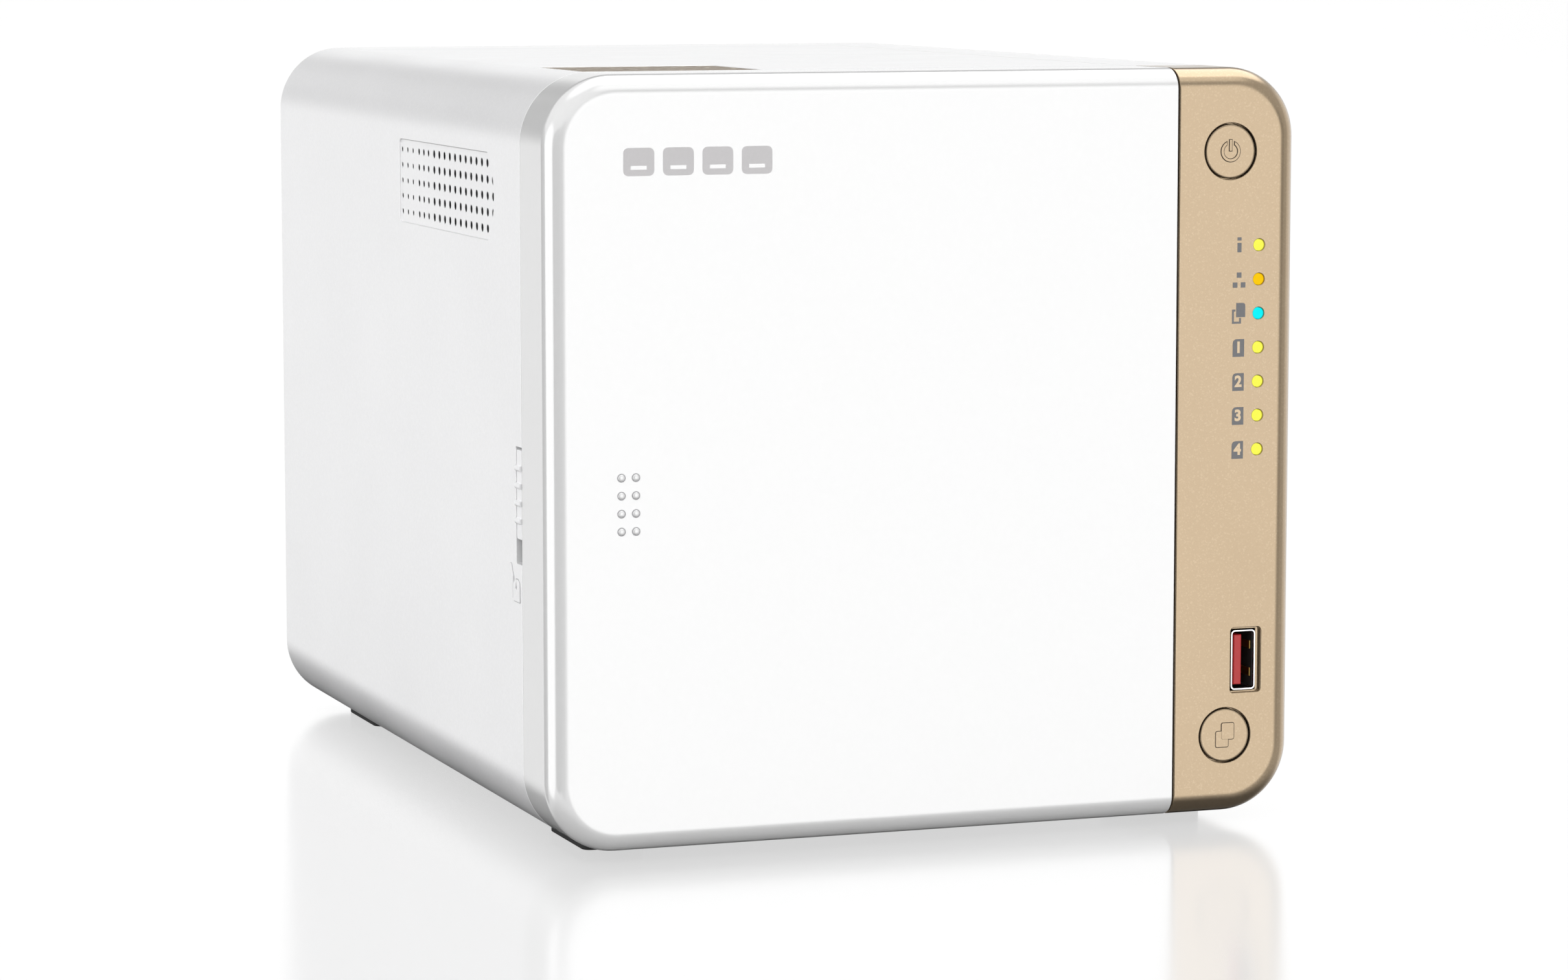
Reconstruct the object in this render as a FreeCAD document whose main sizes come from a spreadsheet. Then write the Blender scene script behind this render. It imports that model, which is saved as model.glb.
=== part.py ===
"""Four-bay desktop network storage unit, in millimetres.

+X is right seen from the front, the front faces -Y and +Z is up. The origin is on
the floor, at the middle of the footprint. Driving sizes are cells of the sheet
"Sizes"; every piece is an object of the document whose sizes are bound to them.
"""
import FreeCAD, Part
import math
import os

import Sketcher

DOC = FreeCAD.newDocument("desktop_nas")
SHEET = DOC.addObject("Spreadsheet::Sheet", "Sizes")
PIECES = []


# ---------------------------------------------------------------- sizes and expressions

class Size:
    """A number that remembers the spreadsheet expression behind it."""

    def __init__(self, value, text):
        self.value = value
        self.text = text

    def __neg__(self):
        return Size(-self.value, f"(-{self.text})")

    def __add__(self, other):
        other = as_size(other)
        return Size(self.value + other.value, f"({self.text} + {other.text})")

    def __sub__(self, other):
        other = as_size(other)
        return Size(self.value - other.value, f"({self.text} - {other.text})")

    def __mul__(self, other):
        other = as_size(other)
        return Size(self.value * other.value, f"({self.text} * {other.text})")

    def __truediv__(self, other):
        other = as_size(other)
        return Size(self.value / other.value, f"({self.text} / {other.text})")

    __radd__ = __add__
    __rmul__ = __mul__

    def __rsub__(self, other):
        return as_size(other) - self


def as_size(value):
    """Any number as a Size."""
    if isinstance(value, Size):
        return value
    return Size(float(value), f"({float(value):.6f})")


def size(alias, value):
    """Put one driving size in the next row of the sheet."""
    size.row += 1
    SHEET.set(f"A{size.row}", alias.replace("_", " "))
    SHEET.set(f"B{size.row}", str(value))
    SHEET.setAlias(f"B{size.row}", alias)
    return Size(float(value), f"Sizes.{alias}")


size.row = 0

# Outer shape
WIDTH = size("width", 170)
DEPTH = size("depth", 226)
HEIGHT = size("height", 165)
FOOT = size("foot_height", 2.5)
CORNER = size("corner_radius", 15)
WALL = size("wall", 2.4)
SEAM_DEPTH = size("seam_depth", 19.5)
SEAM_GAP = size("seam_gap", 0.2)
REAR_RECESS = size("rear_recess", 2)
SPLIT_X = size("split_x", 54)
SPLIT_GAP = size("split_gap", 0.3)
FRONT_ROUND = size("front_round", 4.4)

# Front cover and gold fascia
COVER_WALL = size("cover_wall", 1.8)
STRIP_FRONT_X = size("strip_front_x", 56.7)
STRIP_LEAN = size("strip_lean", 2)
STRIP_GAP = size("strip_gap", 0.4)
BUTTON_X = size("button_x", 68.9)
BUTTON_RADIUS = size("button_radius", 5.85)
BUTTON_GAP = size("button_gap", 0.3)
POWER_Z = size("power_z", 147)
COPY_Z = size("copy_z", 19.7)
LENS_X = size("lens_x", 75.9)
LENS_TOP_Z = size("lens_top_z", 126.7)
LENS_PITCH = size("lens_pitch", 7.4)
LENS_RADIUS = size("lens_radius", 1.225)

# Vent on the left side
VENT_Z = size("vent_z", 138)
VENT_HEIGHT = size("vent_height", 18.7)
VENT_LENGTH = size("vent_length", 75)
VENT_DEPTH = size("vent_depth", 0.4)
VENT_BOW = size("vent_bow_radius", 11.65)
VENT_ROW_PITCH = size("vent_row_pitch", 3.5)

# Cover lock on the left side
LOCK_LOW_Z = size("lock_low_z", 66.95)
LOCK_HEIGHT = size("lock_height", 18.95)
LOCK_TRAVEL = size("lock_travel", 5.2)
LOCK_LENGTH = size("lock_length", 4.1)
LOCK_RIDGE_PITCH = size("lock_ridge_pitch", 3.73)

# Bays and drives
BAY_PITCH = size("bay_pitch", 32)
FIRST_BAY_X = size("first_bay_x", -61.5)
BAY_WIDTH = size("bay_width", 129.2)
BAY_HEIGHT = size("bay_height", 123.1)
TRAY_WIDTH = size("tray_width", 30)
TRAY_HEIGHT = size("tray_height", 122)
DRIVE_WIDTH = size("drive_width", 101.6)
DRIVE_LENGTH = size("drive_length", 147)
DRIVE_THICKNESS = size("drive_thickness", 26.1)
SHEET_METAL = size("sheet_metal", 1.2)
PIVOT_RADIUS = size("pivot_radius", 1.5)
CAGE_REAR = size("cage_rear", 59)

# Boards, fan and rear sockets
BOARD = size("board_thickness", 1.6)
BOARD_X = size("board_x", 57)
FAN_SIZE = size("fan_size", 120)
FAN_DEPTH = size("fan_depth", 25)
FAN_X = size("fan_x", -19)
FAN_HOLE_PITCH = size("fan_hole_pitch", 105)
WIRE_RADIUS = size("wire_radius", 0.8)

# Planes and lines used by more than one piece
LEFT = -WIDTH / 2
RIGHT = WIDTH / 2
FRONT = -DEPTH / 2
SEAM = FRONT + SEAM_DEPTH
SHELL_REAR = DEPTH / 2 - REAR_RECESS
PANEL_FRONT = SHELL_REAR - REAR_RECESS
PANEL_REAR = PANEL_FRONT + SHEET_METAL
INSIDE_LEFT = LEFT + WALL
INSIDE_RIGHT = RIGHT - WALL
FLOOR = FOOT + WALL
CEILING = HEIGHT - WALL
MID_Z = (FOOT + HEIGHT) / 2
COVER_INSIDE = FRONT + WALL
BAY_LEFT = FIRST_BAY_X - BAY_PITCH / 2 - 0.6
BAY_RIGHT = BAY_LEFT + BAY_WIDTH
BAY_LOW = MID_Z - BAY_HEIGHT / 2
BAY_HIGH = MID_Z + BAY_HEIGHT / 2
FRAME_FRONT = SEAM - 5.5
FRAME_REAR = SEAM + 5.5
TRAY_FRONT = FRAME_FRONT - 4
TRAY_BACK = TRAY_FRONT + 7
RAIL_GAP = (DRIVE_WIDTH + 0.8) / 2
BOARD_FACE = BOARD_X + BOARD
FRONT_BOARD_Y = SEAM - 6.5
SCREW_INSET = CORNER - 6.6
SCREW_CORNER_X = RIGHT - SCREW_INSET
SCREW_CORNER_LOW = FOOT + SCREW_INSET
SCREW_CORNER_HIGH = HEIGHT - SCREW_INSET
PIVOT_Y = TRAY_FRONT + 2.5
PIVOT_Z = MID_Z - TRAY_HEIGHT / 2 + 13.25
SOCKET_REAR = PANEL_REAR + 0.5
BAYS = range(4)

# Places of small features: tabs and dots on the cover, screws, rear sockets as
# (reach from the board, height), and the vent's columns as (radius, first Y, count, step)
TAB_CENTRES = (-50.0, -10.0, 30.0)
DOT_X = (-69.25, -66.08)
DOT_PITCH = 3.75
DOT_MIDDLE_Z = 75.97
CAGE_SCREW_X = (-60.0, 40.0)
CAGE_SCREW_Y = (-70.0, 40.0)
DRIVE_HOLE_X = -6.25
DRIVE_HOLE_Y = (-64.5, 37.1)
STANDOFFS = [(y, z) for y in (-70.0, 50.0) for z in (40.0, 130.0)]
RESET_X = 65.0
RESET_Z = 36.0
LAN_Z = (55.0, 73.0)
USB_Z = (93.0, 109.0)
HDMI_Z = (128.0, 146.0)
POWER_SOCKET_Z = 20.0
LAN_SIZE = (13.5, 16.0)
USB_SIZE = (16.0, 14.0)
HDMI_SIZE = (6.2, 15.4)
POWER_SOCKET_SIZE = (13.0, 11.0)
VENT_REAR = 0.5
VENT_COLUMNS = ((0.575, -0.7, 3, -4.4), (0.715, -14.5, 3, -3.85), (0.895, -26.8, 11, -4.16))
VENT_LAST_COLUMN = (0.895, -72.6)


# ---------------------------------------------------------------- drawing helpers

PLANES = {"XY": 1, "XZ": -1, "YZ": 1}


def new_body(label):
    """A PartDesign body that becomes the sub-part of this name."""
    body = DOC.addObject("PartDesign::Body", "body_" + label)
    body.Label = label
    PIECES.append(body)
    return body


def origin_feature(body, role):
    return [item for item in body.Origin.OriginFeatures if item.Role == role][0]


def new_sketch(body, plane, offset=None):
    """A sketch on one of the body's own planes, moved along that plane's normal."""
    sketch = body.newObject("Sketcher::SketchObject", "sketch")
    sketch.AttachmentSupport = [(origin_feature(body, plane + "_Plane"), "")]
    sketch.MapMode = "FlatFace"
    if offset is not None:
        sketch.setExpression("AttachmentOffset.Base.z", offset.text)
        sketch.AttachmentOffset.Base.z = offset.value
    return sketch


def hold(sketch, edge, point, x, y):
    """Fix one point of the sketch at x, y from the sketch's origin."""
    for kind, axis, length in (("DistanceX", -2, as_size(x)), ("DistanceY", -1, as_size(y))):
        if abs(length.value) < 1e-9:
            sketch.addConstraint(Sketcher.Constraint("PointOnObject", edge, point, axis))
            continue
        index = sketch.addConstraint(
            Sketcher.Constraint(kind, -1, 1, edge, point, length.value))
        bind_constraint(sketch, index, length)


def bind_constraint(sketch, index, length):
    if "Sizes" in length.text:
        sketch.renameConstraint(index, f"size_{index}")
        sketch.setExpression(f"Constraints.size_{index}", length.text)


def rectangle(left, low, right, high):
    """Corners of a rectangle in a sketch."""
    return [(left, low), (right, low), (right, high), (left, high)]


class Round:
    """A circle in a sketch."""

    def __init__(self, x, y, radius):
        self.x = x
        self.y = y
        self.radius = as_size(radius)


class Rounded:
    """A rectangle in a sketch with some corners rounded.

    The corners are counted anticlockwise from the lower left one.
    """

    LEFT = (0, 3)
    RIGHT = (1, 2)
    ALL = (0, 1, 2, 3)

    def __init__(self, left, low, right, high, radius, corners):
        self.points = rectangle(left, low, right, high)
        self.radius = as_size(radius)
        self.corners = corners


class Bowed:
    """A rectangle in a sketch whose left side bows outwards as an arc."""

    def __init__(self, left, low, right, high, radius):
        self.points = rectangle(left, low, right, high)
        self.radius = as_size(radius)


def draw(sketch, loop):
    """Add one closed loop: a Round, Rounded or Bowed shape, or a list of corners."""
    if isinstance(loop, Rounded):
        draw_rounded(sketch, loop)
        return
    if isinstance(loop, Bowed):
        draw_bowed(sketch, loop)
        return
    if isinstance(loop, Round):
        centre = FreeCAD.Vector(as_size(loop.x).value, as_size(loop.y).value, 0)
        circle = Part.Circle(centre, FreeCAD.Vector(0, 0, 1), loop.radius.value)
        edge = sketch.addGeometry(circle)
        hold(sketch, edge, 3, loop.x, loop.y)
        index = sketch.addConstraint(Sketcher.Constraint("Radius", edge, loop.radius.value))
        bind_constraint(sketch, index, loop.radius)
        return
    corners = [FreeCAD.Vector(as_size(x).value, as_size(y).value, 0) for x, y in loop]
    first = sketch.GeometryCount
    count = len(corners)
    for i in range(count):
        sketch.addGeometry(Part.LineSegment(corners[i], corners[(i + 1) % count]))
    for i in range(count):
        following = first + (i + 1) % count
        sketch.addConstraint(Sketcher.Constraint("Coincident", first + i, 2, following, 1))
    for i, (x, y) in enumerate(loop):
        hold(sketch, first + i, 1, x, y)


def draw_rounded(sketch, loop):
    """Add a rectangle whose chosen corners are tangent arcs."""
    radius = loop.radius
    starts = {}
    ends = {}
    arcs = {}
    for corner, (x, y) in enumerate(loop.points):
        x = as_size(x)
        y = as_size(y)
        if corner not in loop.corners:
            starts[corner] = ends[corner] = FreeCAD.Vector(x.value, y.value, 0)
            continue
        centre_x = x + radius if corner in (0, 3) else x - radius
        centre_y = y + radius if corner in (0, 1) else y - radius
        centre = FreeCAD.Vector(centre_x.value, centre_y.value, 0)
        turn = math.pi * (1 + corner / 2)
        circle = Part.Circle(centre, FreeCAD.Vector(0, 0, 1), radius.value)
        arc = sketch.addGeometry(Part.ArcOfCircle(circle, turn, turn + math.pi / 2))
        starts[corner] = circle.value(turn)
        ends[corner] = circle.value(turn + math.pi / 2)
        arcs[corner] = arc
        hold(sketch, arc, 3, centre_x, centre_y)
        index = sketch.addConstraint(Sketcher.Constraint("Radius", arc, radius.value))
        bind_constraint(sketch, index, radius)
    sides = [sketch.addGeometry(Part.LineSegment(ends[corner], starts[(corner + 1) % 4]))
             for corner in range(4)]
    for corner, (x, y) in enumerate(loop.points):
        before = sides[corner - 1]
        after = sides[corner]
        if corner in arcs:
            arc = arcs[corner]
            sketch.addConstraint(Sketcher.Constraint("Tangent", before, 2, arc, 1))
            sketch.addConstraint(Sketcher.Constraint("Tangent", arc, 2, after, 1))
        else:
            sketch.addConstraint(Sketcher.Constraint("Coincident", before, 2, after, 1))
            hold(sketch, after, 1, x, y)


def draw_bowed(sketch, loop):
    """Add three sides as lines and the left side as one arc."""
    radius = loop.radius
    (left, low), (right, low), (right, high), _ = loop.points
    left, low, right, high = (as_size(value) for value in (left, low, right, high))
    centre_x = left + radius
    centre_y = (low + high) / 2
    swing = math.asin((high.value - low.value) / 2 / radius.value)
    centre = FreeCAD.Vector(centre_x.value, centre_y.value, 0)
    circle = Part.Circle(centre, FreeCAD.Vector(0, 0, 1), radius.value)
    arc = sketch.addGeometry(Part.ArcOfCircle(circle, math.pi - swing, math.pi + swing))
    corners = [circle.value(math.pi + swing), FreeCAD.Vector(right.value, low.value, 0),
               FreeCAD.Vector(right.value, high.value, 0), circle.value(math.pi - swing)]
    sides = [sketch.addGeometry(Part.LineSegment(corners[i], corners[i + 1])) for i in range(3)]
    hold(sketch, arc, 3, centre_x, centre_y)
    index = sketch.addConstraint(Sketcher.Constraint("Radius", arc, radius.value))
    bind_constraint(sketch, index, radius)
    joints = ((arc, 2, sides[0], 1), (sides[0], 2, sides[1], 1),
              (sides[1], 2, sides[2], 1), (sides[2], 2, arc, 1))
    for joint in joints:
        sketch.addConstraint(Sketcher.Constraint("Coincident", *joint))
    for side in (sides[0], sides[2]):
        sketch.addConstraint(Sketcher.Constraint("Horizontal", side))
    hold(sketch, sides[1], 1, right, low)
    hold(sketch, sides[1], 2, right, high)


def extrude(body, kind, plane, loops, low, high):
    """Pad or Pocket the loops between two places along the plane's world axis."""
    sense = PLANES[plane]
    low = as_size(low)
    high = as_size(high)
    sketch = new_sketch(body, plane, low * sense)
    for loop in loops:
        draw(sketch, loop)
    feature = body.newObject("PartDesign::" + kind, kind.lower())
    feature.Profile = sketch
    feature.Reversed = (kind == "Pad") == (sense < 0)
    feature.setExpression("Length", (high - low).text)
    return feature


def pad(body, plane, loops, low, high):
    return extrude(body, "Pad", plane, loops, low, high)


def pocket(body, plane, loops, low, high):
    return extrude(body, "Pocket", plane, loops, low, high)


def repeat(body, feature, axis, spacing, count):
    """Repeat a feature along one of the body's axes."""
    pattern = body.newObject("PartDesign::LinearPattern", "pattern")
    pattern.Originals = [feature]
    pattern.Direction = (origin_feature(body, axis + "_Axis"), [""])
    spacing = as_size(spacing)
    pattern.Reversed = spacing.value < 0
    if spacing.value < 0:
        spacing = -spacing
    pattern.Mode = "Extent"
    pattern.setExpression("Length", (spacing * (count - 1)).text)
    pattern.Occurrences = count
    body.Tip = pattern
    return pattern


def revolve(body, profile):
    """Turn a profile of (radius, y) corners round the body's Y axis."""
    sketch = new_sketch(body, "XY")
    draw(sketch, profile)
    feature = body.newObject("PartDesign::Revolution", "revolution")
    feature.Profile = sketch
    feature.ReferenceAxis = (sketch, ["V_Axis"])
    return feature


def fillet(body, radius, chosen):
    """Round those edges of the body so far that the chosen function accepts."""
    DOC.recompute()
    tip = body.Tip
    edges = [f"Edge{i}" for i, edge in enumerate(tip.Shape.Edges, 1) if chosen(edge)]
    feature = body.newObject("PartDesign::Fillet", "fillet")
    feature.Base = (tip, edges)
    feature.setExpression("Radius", as_size(radius).text)
    return feature


def front_edges_except(x):
    """Edges of the front face, apart from the straight side at this x."""
    def chosen(edge):
        box = edge.BoundBox
        flat = abs(box.YMin - FRONT.value) < 0.01 and abs(box.YMax - FRONT.value) < 0.01
        side = abs(box.XMin - x.value) < 0.01 and abs(box.XMax - x.value) < 0.01
        return flat and not side
    return chosen


def place(item, x, y, z):
    for axis, length in zip("xyz", (x, y, z)):
        length = as_size(length)
        item.setExpression(f"Placement.Base.{axis}", length.text)


def block(x, y, z, name="block"):
    """A Part box between two places along each axis."""
    box = DOC.addObject("Part::Box", name)
    spans = [(as_size(low), as_size(high)) for low, high in (x, y, z)]
    for side, (low, high) in zip(("Length", "Width", "Height"), spans):
        box.setExpression(side, (high - low).text)
    place(box, *(low for low, high in spans))
    return box


TURNS = {
    "X": FreeCAD.Rotation(FreeCAD.Vector(0, 0, 1), FreeCAD.Vector(1, 0, 0)),
    "Y": FreeCAD.Rotation(FreeCAD.Vector(0, 0, 1), FreeCAD.Vector(0, 1, 0)),
    "Z": FreeCAD.Rotation(),
}


def rod(axis, start, radius, length):
    """A Part cylinder from a start point along +X, +Y or +Z."""
    cylinder = DOC.addObject("Part::Cylinder", "rod")
    cylinder.Placement = FreeCAD.Placement(FreeCAD.Vector(), TURNS[axis])
    cylinder.setExpression("Radius", as_size(radius).text)
    cylinder.setExpression("Height", as_size(length).text)
    place(cylinder, *start)
    return cylinder


def fused(items):
    if len(items) == 1:
        return items[0]
    result = DOC.addObject("Part::MultiFuse", "fused")
    result.Shapes = items
    return result


def cut(base, tools):
    result = DOC.addObject("Part::Cut", "cut")
    result.Base = base
    result.Tool = fused(tools)
    return result


def piece(label, item):
    """Give a finished object the sub-part's name."""
    item.Label = label
    PIECES.append(item)
    return item


def group(label, items):
    """Several separate solids that share one sub-part."""
    result = DOC.addObject("Part::Compound", "group")
    result.Links = items
    return piece(label, result)


def bay_x(bay):
    return FIRST_BAY_X + BAY_PITCH * bay


# ---------------------------------------------------------------- casing

def make_main_shell():
    """Left side, top and bottom, with the vent, the lock slot and inner ribs."""
    body = new_body("main_shell")
    edge_x = SPLIT_X - SPLIT_GAP / 2
    outside = Rounded(LEFT, FOOT, edge_x, HEIGHT, CORNER, Rounded.LEFT)
    inside = Rounded(INSIDE_LEFT, FLOOR, RIGHT, CEILING, CORNER - WALL, Rounded.LEFT)
    pad(body, "XZ", [outside], SEAM, SHELL_REAR)
    pocket(body, "XZ", [inside], SEAM, SHELL_REAR)
    add_cage_ribs(body)
    add_screw_bosses(body, -SCREW_CORNER_X)
    add_side_vent(body)
    lock_low = LOCK_LOW_Z - LOCK_TRAVEL - 0.1
    slot = rectangle(SEAM - 1, lock_low, SEAM + LOCK_LENGTH, LOCK_LOW_Z + LOCK_HEIGHT + 0.55)
    pocket(body, "YZ", [slot], LEFT - 1, INSIDE_LEFT + 0.5)
    plate = rectangle(-70.6, SEAM + 0.5, -31.0, SEAM + 32.5)
    pocket(body, "XY", [plate], HEIGHT - 0.4, HEIGHT + 1)


def add_cage_ribs(body):
    """Two ribs on the floor that carry the drive cage, with bosses for its screws."""
    low = FLOOR - 0.5
    high = BAY_LOW - SHEET_METAL
    for x in CAGE_SCREW_X:
        rib = rectangle(x - 1.0, low, x + 1.0, high)
        pad(body, "XZ", [rib], FRAME_REAR + 4, 50.0)
    centres = [(x, y) for x in CAGE_SCREW_X for y in CAGE_SCREW_Y]
    pad(body, "XY", [Round(x, y, 3.5) for x, y in centres], low, high)
    pocket(body, "XY", [Round(x, y, 1.4) for x, y in centres], high - 9, high)


def add_screw_bosses(body, x):
    """Two bosses in the rear corners for the panel's screws."""
    centres = ((x, SCREW_CORNER_LOW), (x, SCREW_CORNER_HIGH))
    pad(body, "XZ", [Round(x, z, 4.0) for x, z in centres], PANEL_FRONT - 12, PANEL_FRONT)
    pocket(body, "XZ", [Round(x, z, 1.4) for x, z in centres], PANEL_FRONT - 11, PANEL_FRONT)


def add_side_vent(body):
    """A shallow recess with a bowed front end, drilled with rows of round holes."""
    low = VENT_Z - VENT_HEIGHT / 2
    high = VENT_Z + VENT_HEIGHT / 2
    front = VENT_REAR - VENT_LENGTH
    recess = Bowed(front, low, VENT_REAR, high, VENT_BOW)
    pocket(body, "YZ", [recess], LEFT - 1, LEFT + VENT_DEPTH)
    for radius, first_y, count, spacing in VENT_COLUMNS:
        rows = [Round(first_y, VENT_Z + VENT_ROW_PITCH * row, radius) for row in range(-2, 3)]
        column = pocket(body, "YZ", rows, LEFT - 1, INSIDE_LEFT + 1)
        repeat(body, column, "Y", spacing, count)
    radius, last_y = VENT_LAST_COLUMN
    last = [Round(last_y, VENT_Z + VENT_ROW_PITCH * row, radius) for row in range(-1, 2)]
    pocket(body, "YZ", last, LEFT - 1, INSIDE_LEFT + 1)


def make_side_shell():
    """Right side, closing the main shell along the line on the top."""
    body = new_body("side_shell")
    edge_x = SPLIT_X + SPLIT_GAP / 2
    outside = Rounded(edge_x, FOOT, RIGHT, HEIGHT, CORNER, Rounded.RIGHT)
    inside = Rounded(LEFT, FLOOR, INSIDE_RIGHT, CEILING, CORNER - WALL, Rounded.RIGHT)
    pad(body, "XZ", [outside], SEAM, SHELL_REAR)
    pocket(body, "XZ", [inside], SEAM, SHELL_REAR)
    add_screw_bosses(body, SCREW_CORNER_X)


def make_front_cover():
    """Gloss cover with side bands, six locating tabs and eight grip dots."""
    body = new_body("front_cover")
    rear = SEAM - SEAM_GAP
    edge_x = STRIP_FRONT_X - STRIP_GAP / 2
    inner_x = edge_x - STRIP_LEAN
    outside = Rounded(LEFT, FOOT, edge_x, HEIGHT, CORNER, Rounded.LEFT)
    pad(body, "XZ", [outside], FRONT, rear)
    fillet(body, FRONT_ROUND, front_edges_except(edge_x))
    low = FOOT + COVER_WALL
    high = HEIGHT - COVER_WALL
    inside = Rounded(LEFT + COVER_WALL, low, inner_x, high, CORNER - COVER_WALL, Rounded.LEFT)
    pocket(body, "XZ", [inside], COVER_INSIDE, rear)
    lip = rectangle(inner_x - 1, low, edge_x + 1, high)
    pocket(body, "XZ", [lip], COVER_INSIDE + 2, rear)
    lean = [(inner_x, rear), (edge_x, FRONT), (edge_x + 2, FRONT - 1), (edge_x + 2, rear)]
    pocket(body, "XY", [lean], FOOT - 1, HEIGHT + 1)
    for z in (FLOOR + 7.3, CEILING - 7.3):
        tabs = [rectangle(x - 5.0, z - 0.8, x + 5.0, z + 0.8) for x in TAB_CENTRES]
        pad(body, "XZ", tabs, COVER_INSIDE - 0.2, FRAME_FRONT + 3)
    dots = [Round(x, DOT_MIDDLE_Z + DOT_PITCH * row, 0.75)
            for x in DOT_X for row in (-1.5, -0.5, 0.5, 1.5)]
    pad(body, "XZ", dots, FRONT - 0.35, FRONT + 0.2)


def make_control_fascia():
    """Gold strip with openings for the buttons, lights and USB socket."""
    body = new_body("control_fascia")
    rear = SEAM - SEAM_GAP
    edge_x = STRIP_FRONT_X + STRIP_GAP / 2
    inner_x = edge_x - STRIP_LEAN
    outside = Rounded(inner_x, FOOT, RIGHT, HEIGHT, CORNER, Rounded.RIGHT)
    pad(body, "XZ", [outside], FRONT, rear)
    fillet(body, FRONT_ROUND, front_edges_except(inner_x))
    inside = Rounded(edge_x + 2.2, FLOOR, INSIDE_RIGHT, CEILING, CORNER - WALL, Rounded.RIGHT)
    pocket(body, "XZ", [inside], COVER_INSIDE, rear)
    lean = [(inner_x, rear), (edge_x, FRONT), (inner_x - 2, FRONT - 1), (inner_x - 2, rear)]
    pocket(body, "XY", [lean], FOOT - 1, HEIGHT + 1)
    tongue = rectangle(INSIDE_RIGHT - 1.5, 25.0, INSIDE_RIGHT, 143.0)
    pad(body, "XZ", [tongue], SEAM - 10, SEAM + 4)
    bosses = [Round(64.0, 137.0, 2.5), Round(64.0, 57.0, 2.5)]
    pad(body, "XZ", bosses, COVER_INSIDE - 0.2, FRONT_BOARD_Y)
    holes = [Round(BUTTON_X, z, BUTTON_RADIUS + BUTTON_GAP) for z in (POWER_Z, COPY_Z)]
    holes += [Round(LENS_X, lens_z(i), LENS_RADIUS + 0.1) for i in range(7)]
    holes.append(rectangle(70.2, 28.9, 77.3, 43.3))
    pocket(body, "XZ", holes, FRONT - 1, COVER_INSIDE + 1)


def lens_z(index):
    return LENS_TOP_Z - LENS_PITCH * index


def make_cover_lock():
    """Ridged slider at the seam, held behind the wall by its flange."""
    body = new_body("cover_lock")
    front = SEAM + 0.1
    rear = SEAM + LOCK_LENGTH - 0.7
    low = LOCK_LOW_Z
    high = LOCK_LOW_Z + LOCK_HEIGHT
    pad(body, "YZ", [rectangle(front, low, rear, high)], LEFT, INSIDE_LEFT + 0.7)
    flange = rectangle(front, low - 2, SEAM + 7, high + 2)
    pad(body, "YZ", [flange], INSIDE_LEFT + 0.3, INSIDE_LEFT + 1.5)
    first = high - 3.9
    ridge = rectangle(front, first - 0.6, rear + 0.4, first + 0.6)
    step = pad(body, "YZ", [ridge], LEFT - 0.5, LEFT + 0.5)
    repeat(body, step, "Z", -LOCK_RIDGE_PITCH, 4)


def make_bay_frame():
    """Black frame round the bay mouths, standing in the shell's front edge."""
    body = new_body("bay_frame")
    outline = Rounded(INSIDE_LEFT, FLOOR, SPLIT_X - 0.3, CEILING, CORNER - WALL, Rounded.LEFT)
    pad(body, "XZ", [outline], FRAME_FRONT, FRAME_REAR)
    mouth = rectangle(BAY_LEFT, BAY_LOW, BAY_RIGHT, BAY_HIGH)
    pocket(body, "XZ", [mouth], FRAME_FRONT, FRAME_REAR)
    for z in (FLOOR + 7.3, CEILING - 7.3):
        slots = [rectangle(x - 10.0, z - 1.3, x + 5.6, z + 1.3) for x in TAB_CENTRES]
        pocket(body, "XZ", slots, FRAME_FRONT - 1, FRAME_FRONT + 5)
    well = rectangle(SEAM - 1, LOCK_LOW_Z - 9, FRAME_REAR + 1, LOCK_LOW_Z + LOCK_HEIGHT + 4)
    pocket(body, "YZ", [well], INSIDE_LEFT - 1, INSIDE_LEFT + 2.4)


def make_rear_panel():
    """Steel panel with openings for the fan, the sockets and a security lock."""
    body = new_body("rear_panel")
    outline = Rounded(INSIDE_LEFT + 0.3, FLOOR + 0.3, INSIDE_RIGHT - 0.3, CEILING - 0.3,
                      CORNER - WALL - 0.3, Rounded.ALL)
    pad(body, "XZ", [outline], PANEL_FRONT, PANEL_REAR)
    openings = [Round(FAN_X, MID_Z, FAN_SIZE / 2 - 3)]
    openings += [Round(x, z, 2.2) for x, z in fan_corners()]
    openings += [Round(side * SCREW_CORNER_X, z, 1.7)
                 for side in (-1, 1) for z in (SCREW_CORNER_LOW, SCREW_CORNER_HIGH)]
    openings += [socket_outline(*spec, clearance=0.3) for spec in all_sockets()]
    openings.append(Round(RESET_X, RESET_Z, 1.8))
    openings.append(rectangle(48.5, 12.0, 51.5, 19.0))
    pocket(body, "XZ", openings, PANEL_FRONT, PANEL_REAR + 1)


def fan_corners():
    half = FAN_HOLE_PITCH / 2
    return [(FAN_X + sx * half, MID_Z + sz * half) for sx in (-1, 1) for sz in (-1, 1)]


def make_feet():
    """Four rubber pads with rounded corners."""
    pads = []
    for x in (-70.0, 58.0):
        for y in (-91.0, 75.0):
            raw = block((x, x + 12.0), (y, y + 25.0), (0.0, FOOT))
            pads.append(rounded(raw, (1, 3, 5, 7), 3.0))
    group("rubber_feet", pads)


def rounded(item, edges, radius):
    """A Part fillet on numbered edges of an item."""
    result = DOC.addObject("Part::Fillet", "rounded")
    result.Base = item
    result.Edges = [(edge, radius, radius) for edge in edges]
    return result


def make_nameplate():
    """Thin plate let into the top behind the seam."""
    plate = block((-70.4, -31.2), (SEAM + 0.7, SEAM + 32.3), (HEIGHT - 0.4, HEIGHT - 0.05))
    piece("top_nameplate", plate)


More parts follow.
